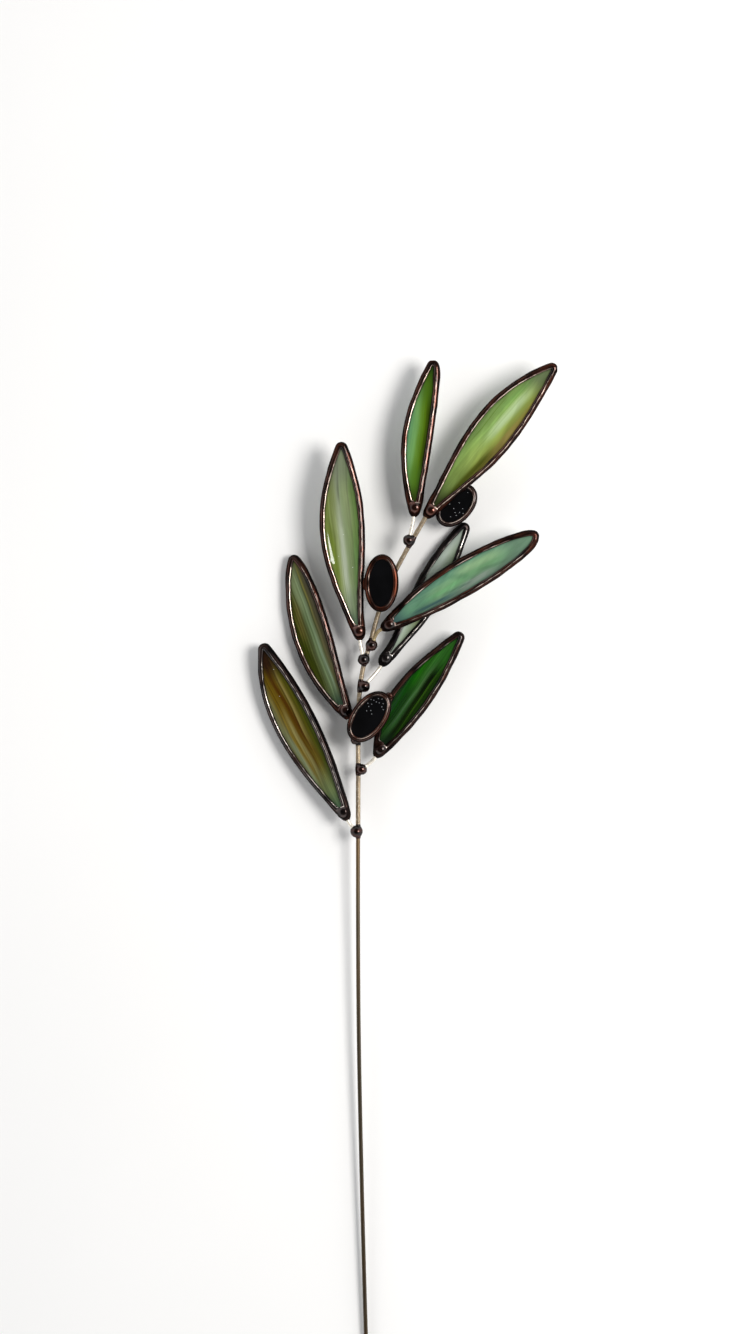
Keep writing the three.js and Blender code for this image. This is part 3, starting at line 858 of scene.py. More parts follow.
def tie_surface(centre, radii, random):
    """A lump of solder that ties an olive down: an oval ball with small waves, as a tube of circles."""
    angle = np.linspace(0, np.pi, TIE_RINGS)[1:-1, None]
    turn = turns(TIE_SIDES)
    swell = 1 + TIE_LUMP * ripple(random, angle, np.pi, *TIE_WAVES, turn)
    ring = stacked(np.sin(angle) * np.cos(turn), np.sin(angle) * np.sin(turn), np.cos(angle))
    points, triangles, _ = closed_tube(np.array(centre) + ring * swell[..., None] * radii)
    return points, triangles, np.tile((0.0, HALF_POLISHED, 0.0), (len(points), 1))


# Pieces


def seeded(name, purpose):
    """Random numbers that belong to one piece and one purpose, the same in each run."""
    return np.random.default_rng([ord(letter) for letter in name + purpose])


def welded(points, triangles, places):
    """The same surface with points at one place made one, without the triangles that this flattens, and with
    its faces outwards, so that the sum of a dot b cross c is positive."""
    _, first, same = np.unique(np.round(points, WELD_DIGITS), axis=0, return_index=True, return_inverse=True)
    triangles = same.ravel()[triangles]
    a, b, c = triangles.T
    triangles = triangles[(a != b) & (b != c) & (c != a)]
    points, places = points[first], places[first]
    a, b, c = (points[corner] for corner in triangles.T)
    if np.einsum("ij,ij->i", a, np.cross(b, c)).sum() < 0:
        triangles = triangles[:, ::-1]
    return points, triangles, places


def new_piece(name, node, surfaces, material):
    """One object that stands for a CAD node, kept within the CAD box, from closed surfaces in the drawing's
    millimetres, each with its points, triangles and the places that its material reads."""
    points, triangles, places = zip(*(welded(*surface) for surface in surfaces))
    starts = np.cumsum([0, *map(len, points)])
    triangles = [part + start for part, start in zip(triangles, starts)]
    mesh = bpy.data.meshes.new(name)
    where = np.clip((np.vstack(points) + ORIGIN) * MILLIMETRE, *np.array(CAD_BOX))
    mesh.from_pydata(where, [], np.vstack(triangles).tolist())
    place = mesh.attributes.new("place", "FLOAT_VECTOR", "POINT")
    place.data.foreach_set("vector", np.vstack(places).astype(np.float32).ravel())
    mesh.shade_smooth()
    mesh.set_sharp_from_angle(angle=np.radians(SHARP_DEGREES))
    mesh.materials.append(material)
    mesh.update()
    piece = bpy.data.objects.new(name, mesh)
    bpy.context.scene.collection.objects.link(piece)
    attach(piece, BODY)
    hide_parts(node)


def new_pane(name, piece, slab, material):
    """Pane of a leaf or an olive, from its slab in its own points."""
    points, triangles, places = closed_tube(*slab)
    new_piece(f"{name}_pane", f"{name}_glass", [(put(piece, points), triangles, places)], material)


def new_edge(name, piece, outline, width, shift, settings):
    """Solder edge round the stations of a leaf's or an olive's outline, with the lumps that tie an olive
    down. The right side of a leaf's edge starts half way round. An olive's whole edge counts as a right side,
    with the same pattern both ways round, so that it closes without a step."""
    slot, warmth, polish, lumpiness = EDGE_FINISHES[name]
    random = seeded(name, "edge")
    points, out, *at_foot = outline
    lump = settings.sizes.solder_lump / MILLIMETRE * lumpiness
    grid, places = solder_ring(points, out, width, random, lump, *at_foot)
    half_way = float(places[..., 0].max() / 2)
    if name in OLIVES:
        places[..., 0] = np.abs(places[..., 0] - half_way)
        half_way = ALL_RIGHT
    triangles = grid_triangles(*grid.shape[:2], open_rows=False)
    surfaces = [(put(piece, grid.reshape(-1, 3)), triangles, places.reshape(-1, 3))]
    surfaces += [tie_surface(centre, radii, random) for centre, radii in piece.get("ties", ())]
    material = patina_solder(f"{name}_solder", settings.colours, warmth, polish, half_way, shift)
    new_piece(f"{name}_edge", f"{name}_rim", surfaces, material)


# Materials


def operator(operation, swapped=False):
    """A method that works on a signal and another value through a Math node."""

    def work(self, *other):
        return self.nodes.math(operation, *((*other, self) if swapped else (self, *other)))

    return work


class Signal:
    """What a node gives out. Arithmetic with it puts in Math nodes."""

    __add__ = operator("ADD")
    __sub__ = operator("SUBTRACT")
    __rsub__ = operator("SUBTRACT", swapped=True)
    __mul__ = operator("MULTIPLY")
    __truediv__ = operator("DIVIDE")
    __abs__ = operator("ABSOLUTE")

    def __init__(self, nodes, socket):
        self.nodes = nodes
        self.socket = socket


class Nodes:
    """Short ways to put nodes into one node tree. Each gives out signals."""

    def __init__(self, tree):
        self.tree = tree

    def feed(self, socket, value):
        if isinstance(value, Signal):
            self.tree.links.new(value.socket, socket)
        else:
            socket.default_value = value

    def add(self, kind, inputs=None, **settings):
        node = self.tree.nodes.new(kind)
        for key, value in settings.items():
            setattr(node, key, value)
        for key, value in (inputs or {}).items():
            self.feed(node.inputs[key], value)
        return node

    def all_of(self, node):
        return {socket.name: Signal(self, socket) for socket in node.outputs}

    def one_of(self, output, kind, inputs=None, **settings):
        return Signal(self, self.add(kind, inputs, **settings).outputs[output])

    def math(self, operation, *values):
        return self.one_of(0, "ShaderNodeMath", dict(enumerate(values)), operation=operation)

    def step(self, value, low, high, start=0.0, end=1.0, shape="SMOOTHSTEP"):
        """From start where a value is low to end where it is high."""
        inputs = dict(enumerate((value, low, high, start, end)))
        return self.one_of(0, "ShaderNodeMapRange", inputs, interpolation_type=shape)

    def blend(self, share, start, end):
        return self.step(share, 0.0, 1.0, start, end)

    def spread(self, noise, start, end):
        """From start to end over the values that a noise mostly has."""
        return self.step(noise, 0.3, 0.7, start, end)

    def mix(self, share, first, second, kind="MIX"):
        inputs = {0: share, 6: first, 7: second}
        return self.one_of(2, "ShaderNodeMix", inputs, data_type="RGBA", blend_type=kind)

    def scaled(self, colour, amount):
        return self.one_of(0, "ShaderNodeVectorMath", {0: colour, "Scale": amount}, operation="SCALE")

    def noise(self, vector, scale=1.0, detail=2.0, distortion=0.0):
        inputs = {"Vector": vector, "Scale": scale, "Detail": detail, "Distortion": distortion}
        return self.one_of(0, "ShaderNodeTexNoise", inputs)

    def cells(self, inputs, **settings):
        """Distance from the middles of a random net's cells, and a random share for each cell."""
        net = self.all_of(self.add("ShaderNodeTexVoronoi", inputs, **settings))
        return net["Distance"], self.split(net["Color"])[0]

    def split(self, vector):
        return tuple(self.all_of(self.add("ShaderNodeSeparateXYZ", {0: vector})).values())

    def joined(self, x, y, z):
        return self.one_of(0, "ShaderNodeCombineXYZ", {0: x, 1: y, 2: z})

    def ramp(self, value, stops):
        """Colours along a value from the first stop to the last."""
        low, high = stops[0][0], stops[-1][0]
        ramp = self.one_of(0, "ShaderNodeValToRGB", {0: self.step(value, low, high, shape="LINEAR")})
        elements = ramp.socket.node.color_ramp.elements
        while len(elements) < len(stops):
            elements.new(0.5)
        for element, (at, code) in zip(elements, stops):
            element.position = (at - low) / (high - low)
            element.color = tint(code)
        return ramp

    def place(self):
        """The place that each point of a piece carries."""
        return self.one_of("Vector", "ShaderNodeAttribute", attribute_name="place")

    def spot(self, output="Object"):
        """Place on the whole branch, or the direction in a world."""
        return self.one_of(output, "ShaderNodeTexCoord")

    def bump(self, height, distance, strength):
        inputs = {"Height": height, "Distance": distance, "Strength": strength}
        return self.one_of(0, "ShaderNodeBump", inputs)

    def group(self, name, build, inputs):
        """What a shared node group gives out; the group is built the first time it is asked for."""
        tree = bpy.data.node_groups.get(name) or build(name)
        node = self.add("ShaderNodeGroup", node_tree=tree)
        for key, value in inputs.items():
            self.feed(node.inputs[key], value)
        return self.all_of(node)


# Sockets of the shared groups that aren't plain numbers
COLOUR_SOCKETS = ("Ground", "Colour", "Dark", "Warm", "Bright")
SOCKETS = {"Place": "NodeSocketVector", **dict.fromkeys(COLOUR_SOCKETS, "NodeSocketColor")}


def group_tree(name, takes, gives):
    """A node group with named sockets: its nodes, its input signals and a function that feeds its outputs."""
    tree = bpy.data.node_groups.new(name, "ShaderNodeTree")
    for in_out, labels in (("INPUT", takes), ("OUTPUT", gives)):
        for label in labels:
            kind = SOCKETS.get(label, "NodeSocketFloat")
            tree.interface.new_socket(label, in_out=in_out, socket_type=kind)
    n = Nodes(tree)
    source = n.all_of(n.add("NodeGroupInput"))
    sink = n.add("NodeGroupOutput").inputs

    def give(**values):
        for label, value in values.items():
            n.feed(sink[label], value)
        return tree

    return n, source, give


def build_flow(name):
    """How the glass flowed when it was rolled: places pushed sideways by slow noise, fine parallel lines from
    noise drawn out along the leaf, and leaning clouds."""
    takes = ("Place", "Seed", "Wander", "Lean")
    n, source, give = group_tree(name, takes, ("Place", "Lines", "Wisps"))
    x, y, _ = n.split(source["Place"])

    def drawn(across, waves):
        return n.joined(across * waves[0], y * waves[1], source["Seed"])

    pushed = x + (n.noise(drawn(x, DRIFT_WAVES), detail=1.0) - 0.5) * source["Wander"]
    lines = n.noise(drawn(pushed, LINE_WAVES), detail=3.0)
    wisps = n.noise(drawn(pushed + y * source["Lean"], CLOUD_WAVES), detail=4.0, distortion=0.7)
    return give(
        Place=n.joined(pushed, y, 0.0),
        Lines=n.step(lines, 0.25, 0.75, -1.0, 1.0),
        Wisps=n.spread(wisps, -1.0, 1.0),
    )


def build_wash(name):
    """A soft streak of another colour along a straight middle line, which the fine lines make ragged. It
    fades with the distance from that line and over its two ends."""
    takes = (
        "Ground", "Place", "Lines", "Colour", "Across Low", "Across High", "From", "To", "Half Width",
        "Strength",
    )
    n, source, give = group_tree(name, takes, ("Colour",))
    x, y, _ = n.split(source["Place"])
    start, end = source["From"], source["To"]
    middle = n.step(y, start, end, source["Across Low"], source["Across High"], "LINEAR")
    off = abs(x - middle + source["Lines"] * 0.3)
    beside = n.step(off / source["Half Width"], 1.3, 0.1)
    fade = (end - start) * 0.36
    ends = n.step(n.math("MINIMUM", (y - start) / fade, (end - y) / fade), 0.0, 1.0)
    return give(Colour=n.mix(beside * ends * source["Strength"], source["Ground"], source["Colour"]))


def build_pits(name):
    """Tiny pits in the face of the glass, which the glass paints with a pale glint: the middles of some cells
    of a random net.
    """
    n, source, give = group_tree(name, ("Place", "Seed", "Scale", "Share"), ("Pits",))
    x, y, _ = n.split(source["Place"])
    far, chosen = n.cells({"Vector": n.joined(x, y, source["Seed"]), "Scale": source["Scale"]})
    return give(Pits=n.step(far, 0.09, 0.03) * n.math("LESS_THAN", chosen, source["Share"]))


def build_patina(name):
    """Solder darkened by patina: dark and warm streaks drawn out along the edge, a crown with stretches that
    are polished, with a thin line of painted highlight, and others that are dull, flanks darkened by painted
    shade, and a black line where the foil ends on the glass."""
    takes = ("Place", "Dark", "Warm", "Bright", "Half Way", "Polish Left", "Polish Right", "Shift")
    n, source, give = group_tree(name, takes, ("Colour", "Metallic", "Roughness", "Coat", "Height"))
    along, away, rise = n.split(source["Place"])
    half_way = source["Half Way"]
    fine = n.noise(n.spot(), 900.0)
    streak = n.noise(n.joined(along * 0.16, away * 0.9, rise * 0.6), detail=3.0)
    colour = n.mix(n.step(streak, 0.36, 0.66), source["Dark"], source["Warm"])
    crown = n.step(away, *CROWN_INSIDE) * n.step(away, *CROWN_OUTSIDE)
    # Painted shade: outside the crown the flanks are darkened to 0.35 of their colour
    colour = n.mix(crown, n.scaled(colour, 0.35), colour)

    right = n.math("GREATER_THAN", along, half_way)
    polish = source["Polish Left"] + right * (source["Polish Right"] - source["Polish Left"])
    slow = n.noise(n.joined(along * 0.09, 3.0, right * 5.0))
    shiny = 1.0 - n.step(slow + (polish - 0.5) * 0.6, 0.62, 0.4)
    polished = shiny * crown

    # Painted highlight: a thin bright line on the polished stretches of the crown, high up the edge, broken
    # by noise and fading near the half way point
    quick = n.noise(n.joined(along * 0.32, away, 7.0))
    drift = n.noise(n.joined(along * 0.2, 0.0, 9.0), detail=1.0)
    wander = n.step(drift, 0.2, 0.8, -LIT_LINE_WANDER, LIT_LINE_WANDER)
    off = abs(away + wander - (right * source["Shift"] + LIT_LINE_MIDDLE))
    broken = shiny * n.step(quick, 0.36, 0.56, 0.3, 1.0)
    highlit = n.step(off, *LIT_LINE_BAND) * n.step(rise, *LIT_LINE_RISE) * broken
    highlit = highlit * n.step(abs(along - half_way), 2.0, 9.0, 0.2, 1.0)
    colour = n.mix(highlit, colour, source["Bright"])
    foil = n.step(away, *FOIL_BAND)

    rough = n.blend(polished, 0.2, 0.0) + n.spread(fine, 0.08, 0.13)
    return give(
        Colour=n.mix(foil, colour, FOIL_BLACK),
        Metallic=n.blend(highlit, 0.8, 0.4),
        Roughness=rough + (foil * 0.3 + highlit * 0.14),
        Coat=polished,
        Height=streak * 0.4 + fine * n.blend(highlit, 0.3, 0.05),
    )


def new_material(name):
    """The nodes of a new material, and a function that feeds its shader and gives it back."""
    material = bpy.data.materials.new(name)
    material.use_nodes = True
    material.node_tree.nodes.clear()
    n = Nodes(material.node_tree)
    shader = n.add("ShaderNodeBsdfPrincipled")
    n.add("ShaderNodeOutputMaterial", {"Surface": Signal(n, shader.outputs[0])})

    def finish(values):
        for key, value in values.items():
            n.feed(shader.inputs[key], value)
        return material

    return n, finish


def streaky_glass(name, recipe, shade):
    """Glass of one leaf: a ground of colours across, washes over it, fine lines and clouds that lighten and
    darken it, pits with a painted pale glint, and a painted shadow beside the solder."""
    n, finish = new_material(name)
    seed = float(sum(ord(letter) for letter in name) % 97)
    place = n.place()
    flow = n.group(
        "Glass flow", build_flow, {"Place": place, "Seed": seed, "Wander": 2.0, "Lean": recipe["lean"]}
    )
    lines = flow["Lines"]
    colour = n.ramp(n.split(flow["Place"])[0] + lines * 0.45, recipe["ground"])
    for low, high, start, end, half_width, code, strength in recipe["washes"]:
        inputs = {
            "Ground": colour, "Place": flow["Place"], "Lines": lines, "Colour": tint(code), "Across Low": low,
            "Across High": high, "From": start, "To": end, "Half Width": half_width, "Strength": strength,
        }
        colour = n.group("Glass wash", build_wash, inputs)["Colour"]
    shades = lines * (0.55 * recipe["lines"]) + flow["Wisps"] * (0.4 * recipe["wisps"])
    colour = n.scaled(colour, shades + 1.0)
    edge = n.step(n.split(place)[2], 0.7, -0.1, 0.0, 0.5)
    colour = n.mix(edge, colour, n.scaled(colour, 0.3))
    inputs = {"Place": place, "Seed": seed, "Scale": 0.4, "Share": 0.08}
    pits = n.group("Glass pits", build_pits, inputs)["Pits"]
    # Painted glint: the pits are painted pale
    colour = n.mix(pits * 0.8, colour, PALE_GLINT)
    return finish({
        "Base Color": n.mix(1.0, colour, (*shade, 1.0), "MULTIPLY"),
        "Roughness": n.blend(pits, 0.07, 0.4),
        "Normal": n.bump(n.noise(n.spot(), 160.0, 1.0) - pits, 0.00012, 0.35),
        "IOR": GLASS_IOR,
    })


def black_glass(name, colour, patch):
    """Black glass of an olive, with tiny pits in a round patch, each with a painted grey glint."""
    n, finish = new_material(name)
    place = n.place()
    x, y, _ = n.split(place)
    middle_x, middle_y, radius, most = patch
    ends = {0: n.joined(x, y, 0.0), 1: (middle_x, middle_y, 0.0)}
    off = n.one_of("Value", "ShaderNodeVectorMath", ends, operation="DISTANCE")
    share = n.step(off, radius, 0.7 * radius, 0.0, most)
    far, chosen = n.cells({"Vector": place, "Scale": 0.8}, voronoi_dimensions="2D")
    pits = n.step(far, 0.22, 0.08) * n.math("LESS_THAN", chosen, share)
    spot = n.spot()
    depth = n.scaled(colour, n.spread(n.noise(spot, 120.0), 0.5, 1.6))
    # Painted glint: the pits are painted grey
    return finish({
        "Base Color": n.mix(pits * 0.3, depth, GREY_GLINT),
        "Roughness": n.blend(pits, 0.06, 0.4),
        "Normal": n.bump(n.noise(spot, 200.0, 1.0) - pits, 0.00012, 0.3),
        "IOR": GLASS_IOR,
    })


def patina_solder(name, colours, warmth=1.0, polish=(1.0, 1.0), half_way=0.0, shift=0.0, shade=1.0):
    """Solder with a patina between grey and copper, darkened by a shade, which is more or less polished on
    the left and the right of the edge's half way point. A line of painted highlight lies on the polished
    stretches, farther out on the right by the shift."""
    n, finish = new_material(name)

    def between(grey, copper, shade=1.0):
        return (*(shade * ((1 - warmth) * np.array(grey) + warmth * np.array(copper))), 1)

    patina = n.group("Solder patina", build_patina, {
        "Place": n.place(),
        "Dark": between(colours.patina_grey_dark, colours.patina_dark, shade),
        "Warm": between(colours.patina_grey, colours.patina_warm, shade),
        "Bright": between(colours.lit_grey, colours.bright_solder),
        "Half Way": half_way, "Polish Left": polish[0], "Polish Right": polish[1], "Shift": shift,
    })
    return finish({
        "Base Color": patina["Colour"],
        "Metallic": patina["Metallic"],
        "Roughness": patina["Roughness"],
        "Coat Weight": patina["Coat"],
        "Coat Roughness": 0.06,
        "Specular IOR Level": 0.35,
        "Specular Tint": SOLDER_TINT,
        "Normal": n.bump(patina["Height"], 0.00008, 0.25),
    })


def rod_metal(name, colours, tinned_from):
    """Bare bronze rod below the lowest bead, and tinned and pitted above it."""
    n, finish = new_material(name)
    spot = n.spot()
    y = n.split(spot)[1]
    fine, coarse, patches = (n.noise(spot, scale) for scale in (1700.0, 420.0, 30.0))
    scratch = n.noise(n.one_of(0, "ShaderNodeMapping", {"Vector": spot, "Scale": (900.0, 25.0, 900.0)}))
    bare = n.mix(n.step(patches, 0.35, 0.65), (*colours.rod, 1), (*colours.rod_warm, 1))
    bare = n.scaled(bare, n.spread(scratch, 0.8, 1.15))
    # The bare rod is darker towards its cut end, and lightens over the last 0.1 m below the tin
    bare = n.scaled(bare, n.step(y, tinned_from - 0.1, tinned_from, 1.0, 2.6))
    tin = n.mix(n.step(coarse, 0.4, 0.6), (*colours.tin_dark, 1), (*colours.tin, 1))
    tin = n.mix(n.step(fine, 0.5, 0.7, 0.0, 0.28), tin, (*colours.wire, 1))
    tinned = n.step(y, tinned_from - 0.001, tinned_from)
    return finish({
        "Base Color": n.mix(tinned, bare, tin),
        "Metallic": 0.6,
        "Roughness": n.spread(fine, 0.3, 0.42),
        "Normal": n.bump((fine + coarse) * (tinned * 0.9 + 0.1), 0.00008, 0.6),
    })


def wire_metal(name, colour):
    """Bright tinned wire with faint pits."""
    n, finish = new_material(name)
    fine = n.noise(n.spot(), 700.0)
    return finish({
        "Base Color": n.scaled(colour, n.spread(fine, 0.85, 1.02)),
        "Metallic": 0.4,
        "Roughness": n.spread(fine, 0.22, 0.34),
        "Normal": n.bump(fine, 0.00005, 0.3),
    })


def floor_paint(name, colour):
    """Pale matt floor with the faintest mottling."""
    n, finish = new_material(name)
    mottling = n.noise(n.spot(), 6.0, 3.0)
    return finish({
        "Base Color": n.scaled(colour, n.spread(mottling, 0.985, 1.0)),
        "Roughness": 0.9,
        "Specular IOR Level": 0.1,
    })


def studio_world(name):
    """Pale studio whose ceiling is dark overhead and bright down to the sides."""
    world = bpy.data.worlds.new(name)
    world.use_nodes = True
    world.node_tree.nodes.clear()
    n = Nodes(world.node_tree)
    strength = n.step(n.split(n.spot("Generated"))[2], *CEILING_BAND, *CEILING_STRENGTH)
    light = n.one_of(0, "ShaderNodeBackground", {"Color": CEILING_COLOUR, "Strength": strength})
    n.add("ShaderNodeOutputWorld", {"Surface": light})
    return world


# Settings


def length_property(label, description, default):
    """A length in metres that a user may change."""
    return bpy.props.FloatProperty(
        name=label, description=description, default=default, min=0, precision=5, unit="LENGTH"
    )


def colour_property(label, description, default):
    """A colour that a user may change, from its hexadecimal sRGB code."""
    return bpy.props.FloatVectorProperty(
        name=label, description=description, default=tint(default)[:3], size=3, min=0, max=1, subtype="COLOR"
    )


def group_property(kind, label, description):
    """A group of settings."""
    return bpy.props.PointerProperty(type=kind, name=label, description=description)


class OLIVEBRANCH_PG_sizes(bpy.types.PropertyGroup):
    """Sizes of what lies on and round the glass."""

    solder_lump: length_property("Solder lump", "How far the solder edges swell and shrink", 0.00004)
    glass_ripple: length_property("Glass ripple", "Height of the ripples in the glass", 0.00002)
    rod_radius: length_property("Rod radius", "Radius of the bare rod", 0.0008)
    tinned_radius: length_property("Tinned radius", "Radius of the rod where it is tinned", 0.0009)
    wire_radius: length_property("Wire radius", "Radius of the stalks", 0.0007)


class OLIVEBRANCH_PG_colours(bpy.types.PropertyGroup):
    """Colours of metal, olives and floor."""

    patina_dark: colour_property("Dark patina", "Darkest solder on the warm edges", "1a0e0a")
    patina_warm: colour_property("Copper patina", "Warm blotches on solder", "5e3122")
    patina_grey_dark: colour_property("Dark grey patina", "Darkest solder on the grey edges", "151417")
    patina_grey: colour_property("Grey patina", "Grey blotches on solder", "343130")
    # Colours of the painted highlight line on the solder
    bright_solder: colour_property("Bright copper patina", "Copper patina that is rubbed bright", "ecd3c3")
    lit_grey: colour_property("Bright grey patina", "Grey patina that is rubbed bright", "e0d8d1")
    rod: colour_property("Rod", "Bare bronze of the rod", "3c3325")
    rod_warm: colour_property("Warm rod", "Warmer stretches of the rod", "443420")
    tin: colour_property("Tin", "Tinned rod", "a08e74")
    tin_dark: colour_property("Dark tin", "Hollows of the tinned rod", "8b7a63")
    wire: colour_property("Wire", "Tinned wire of the stalks", "f0e8da")
    tan_wire: colour_property("Tan wire", "Wire of the stalk that is darker", "a3906b")
    black_glass: colour_property("Black glass", "Glass of the olives", "040405")
    floor: colour_property("Floor", "Floor that the branch lies on", "f7f6f5")


class OLIVEBRANCH_PG_tints(bpy.types.PropertyGroup):
    """A tint over the streaks of each leaf; white leaves them as they are."""

    __annotations__ = {
        leaf: colour_property(leaf.replace("_", " ").capitalize(), "Tint over this leaf's streaks", "ffffff")
        for leaf in LEAVES
    }


class OLIVEBRANCH_PG_settings(bpy.types.PropertyGroup):
    """All settings of the branch."""

    sizes: group_property(OLIVEBRANCH_PG_sizes, "Sizes", "Sizes in metres")
    colours: group_property(OLIVEBRANCH_PG_colours, "Colours", "Colours of metal, olives and floor")
    tints: group_property(OLIVEBRANCH_PG_tints, "Tints", "Tints of the leaves")


# Steps


class OLIVEBRANCH_OT_rod(bpy.types.Operator):
    """Make the rod: a tube along its bent axis, plain below and lumpy where it is tinned"""

    bl_idname = "olive_branch.rod"
    bl_label = "Rod"

    def execute(self, context):
        settings = context.scene.olive_branch
        line = rod_line()
        line = spaced(line, int(lengths(line)[-1] / ROD_SPACING))
        along = lengths(line)[:, None]
        lumps = ripple(seeded("rod", "lumps"), along, along[-1, 0], *TIN_WAVES, turns(ROD_SIDES))
        bare = settings.sizes.rod_radius / MILLIMETRE
        tinned = settings.sizes.tinned_radius / MILLIMETRE + TIN_LUMP * lumps
        share = smooth_step(line[:, 1:2], TINNED_FROM - TIN_START, TINNED_FROM + TIN_START)
        radius = bare + (tinned - bare) * share
        radius[0] = bare * CUT_END
        tinned_from = (TINNED_FROM + ORIGIN[1]) * MILLIMETRE
        material = rod_metal("rod_bronze_and_tin", settings.colours, tinned_from)
        new_piece("rod", "stem", [closed_tube(tube(line, radius))], material)
        return {"FINISHED"}


class OLIVEBRANCH_OT_beads(bpy.types.Operator):
    """Make the beads of solder where the stalks leave the rod"""

    bl_idname = "olive_branch.beads"
    bl_label = "Beads"

    def execute(self, context):
        colours = context.scene.olive_branch.colours
        solder = patina_solder("bead_solder", colours, BEAD_WARMTH, half_way=ALL_RIGHT, shade=BEAD_SHADE)
        for name, leaf in LEAVES.items():
            if leaf["stalk"]:
                bead = bead_surface(name, leaf["stalk"])
                new_piece(f"{name}_joint", f"{name}_bead", [bead], solder)
        return {"FINISHED"}


class OLIVEBRANCH_OT_stalks(bpy.types.Operator):
    """Make the short wire stalks of the leaves"""

    bl_idname = "olive_branch.stalks"
    bl_label = "Stalks"

    def execute(self, context):
        settings = context.scene.olive_branch
        bright = wire_metal("bright_wire", tuple(settings.colours.wire))
        tan = wire_metal("tan_wire", tuple(settings.colours.tan_wire))
        for name, leaf in LEAVES.items():
            if leaf["stalk"]:
                stalk = stalk_surface(leaf, settings.sizes.wire_radius / MILLIMETRE)
                wire = tan if name == TAN_STALK else bright
                new_piece(f"{name}_wire", f"{name}_stalk", [stalk], wire)
        return {"FINISHED"}


class OLIVEBRANCH_OT_panes(bpy.types.Operator):
    """Make the panes of streaky glass"""

    bl_idname = "olive_branch.panes"
    bl_label = "Leaf panes"

    def execute(self, context):
        settings = context.scene.olive_branch
        for name, leaf in LEAVES.items():
            slab = leaf_pane(leaf, seeded(name, "glass"), settings.sizes, CURLS.get(name, NO_CURL))
            shade = tuple(getattr(settings.tints, name))
            glass = streaky_glass(f"{name}_streaky_glass", GLASS[name], shade)
            new_pane(name, leaf, slab, glass)
        return {"FINISHED"}


class OLIVEBRANCH_OT_edges(bpy.types.Operator):
    """Make the solder edges of the leaves, with their feet"""

    bl_idname = "olive_branch.edges"
    bl_label = "Leaf edges"

    def execute(self, context):
        for name, leaf in LEAVES.items():
            new_edge(name, leaf, leaf_stations(leaf), LEAF_EDGE_WIDTH, LEAF_SHIFT, context.scene.olive_branch)
        return {"FINISHED"}


class OLIVEBRANCH_OT_olives(bpy.types.Operator):
    """Make the olives: black panes, their solder edges and the lumps that tie them down"""

    bl_idname = "olive_branch.olives"
    bl_label = "Olives"

    def execute(self, context):
        settings = context.scene.olive_branch
        colour = tuple(settings.colours.black_glass)
        for name, olive in OLIVES.items():
            slab = olive_pane(olive, seeded(name, "glass"), settings.sizes)
            glass = black_glass(f"{name}_black_glass", colour, PITTED.get(name, NOT_PITTED))
            new_pane(name, olive, slab, glass)
            new_edge(name, olive, olive_stations(olive), OLIVE_EDGE_WIDTH, OLIVE_SHIFT, settings)
        return {"FINISHED"}


def soft_light(name, place, aim, size, power, colour):
    """A soft oblong light that faces a point; places in metres."""
    lamp = bpy.data.lights.new(name, "AREA")
    lamp.shape = "RECTANGLE"
    lamp.size, lamp.size_y = size
    lamp.energy = power
    lamp.color = colour
    holder = bpy.data.objects.new(name, lamp)
    bpy.context.scene.collection.objects.link(holder)
    holder.location = place
    holder.rotation_mode = "QUATERNION"
    holder.rotation_quaternion = (Vector(aim) - Vector(place)).to_track_quat("-Z", "Y")


def floor_sheet(name, material):
    """A flat square of squares, at the height that the branch lies on."""
    columns = FLOOR_SQUARES + 1
    span = np.linspace(-FLOOR_REACH, FLOOR_REACH, columns)
    x, y = np.meshgrid(span, span, indexing="ij")
    i, j = np.meshgrid(np.arange(FLOOR_SQUARES), np.arange(FLOOR_SQUARES), indexing="ij")
    corner = (i * columns + j).ravel()
    squares = stacked(corner, corner + columns, corner + columns + 1, corner + 1)
    mesh = bpy.data.meshes.new(name)
    mesh.from_pydata(stacked(x, y, 0.0).reshape(-1, 3), [], squares.tolist())
    mesh.materials.append(material)
    return bpy.data.objects.new(name, mesh)


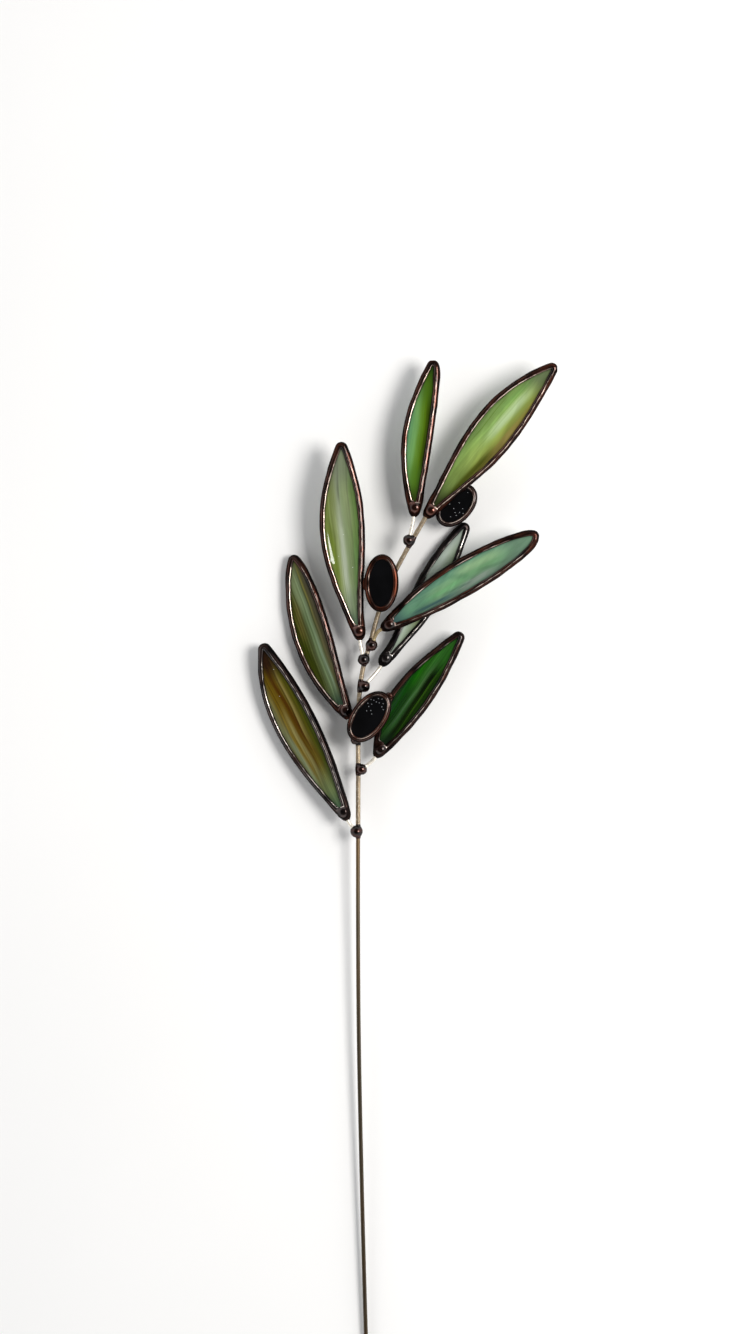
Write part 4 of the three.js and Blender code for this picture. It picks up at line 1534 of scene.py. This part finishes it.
class OLIVEBRANCH_OT_stage(bpy.types.Operator):
    """Make the floor, the lights and the camera"""

    bl_idname = "olive_branch.stage"
    bl_label = "Stage"

    def execute(self, context):
        scene = context.scene
        floor = floor_sheet("floor", floor_paint("pale_floor", tuple(scene.olive_branch.colours.floor)))
        scene.collection.objects.link(floor)

        middle = (np.array(VIEW_MIDDLE) + ORIGIN) * MILLIMETRE
        scene.world = studio_world("studio")
        soft_light("key", middle + KEY_PLACE, middle, KEY_SIZE, KEY_POWER, KEY_COLOUR)
        scene.view_settings.view_transform = "Standard"

        lens = bpy.data.cameras.new("camera")
        lens.lens = lens.sensor_width * VIEW_DISTANCE / VIEW_HEIGHT
        lens.clip_start = NEAR_CLIP
        camera = bpy.data.objects.new("camera", lens)
        camera.location = middle + (0, 0, VIEW_DISTANCE * MILLIMETRE)
        scene.collection.objects.link(camera)
        scene.camera = camera
        return {"FINISHED"}


class OLIVEBRANCH_PT_panel(bpy.types.Panel):
    """Steps and settings of the branch"""

    bl_idname = "OLIVEBRANCH_PT_panel"
    bl_label = "Olive branch"
    bl_space_type = "VIEW_3D"
    bl_region_type = "UI"
    bl_category = "Olive branch"

    def draw(self, context):
        settings = context.scene.olive_branch
        for step in STEPS:
            self.layout.operator(step.bl_idname)
        for group in (settings.sizes, settings.colours, settings.tints):
            box = self.layout.box()
            for key in group.bl_rna.properties.keys():
                if key not in ("rna_type", "name"):
                    box.prop(group, key)


STEPS = (
    OLIVEBRANCH_OT_rod,
    OLIVEBRANCH_OT_beads,
    OLIVEBRANCH_OT_stalks,
    OLIVEBRANCH_OT_panes,
    OLIVEBRANCH_OT_edges,
    OLIVEBRANCH_OT_olives,
    OLIVEBRANCH_OT_stage,
)
CLASSES = (
    OLIVEBRANCH_PG_sizes,
    OLIVEBRANCH_PG_colours,
    OLIVEBRANCH_PG_tints,
    OLIVEBRANCH_PG_settings,
    *STEPS,
    OLIVEBRANCH_PT_panel,
)


def register():
    """Makes the classes and the scene's settings known."""
    for kind in CLASSES:
        bpy.utils.register_class(kind)
    bpy.types.Scene.olive_branch = bpy.props.PointerProperty(type=OLIVEBRANCH_PG_settings)


def unregister():
    """Takes the classes and the settings away again."""
    del bpy.types.Scene.olive_branch
    for kind in reversed(CLASSES):
        bpy.utils.unregister_class(kind)


def main():
    """Runs all the steps in order."""
    register()
    for step in STEPS:
        group, name = step.bl_idname.split(".")
        getattr(getattr(bpy.ops, group), name)()


if __name__ == "__main__":
    main()
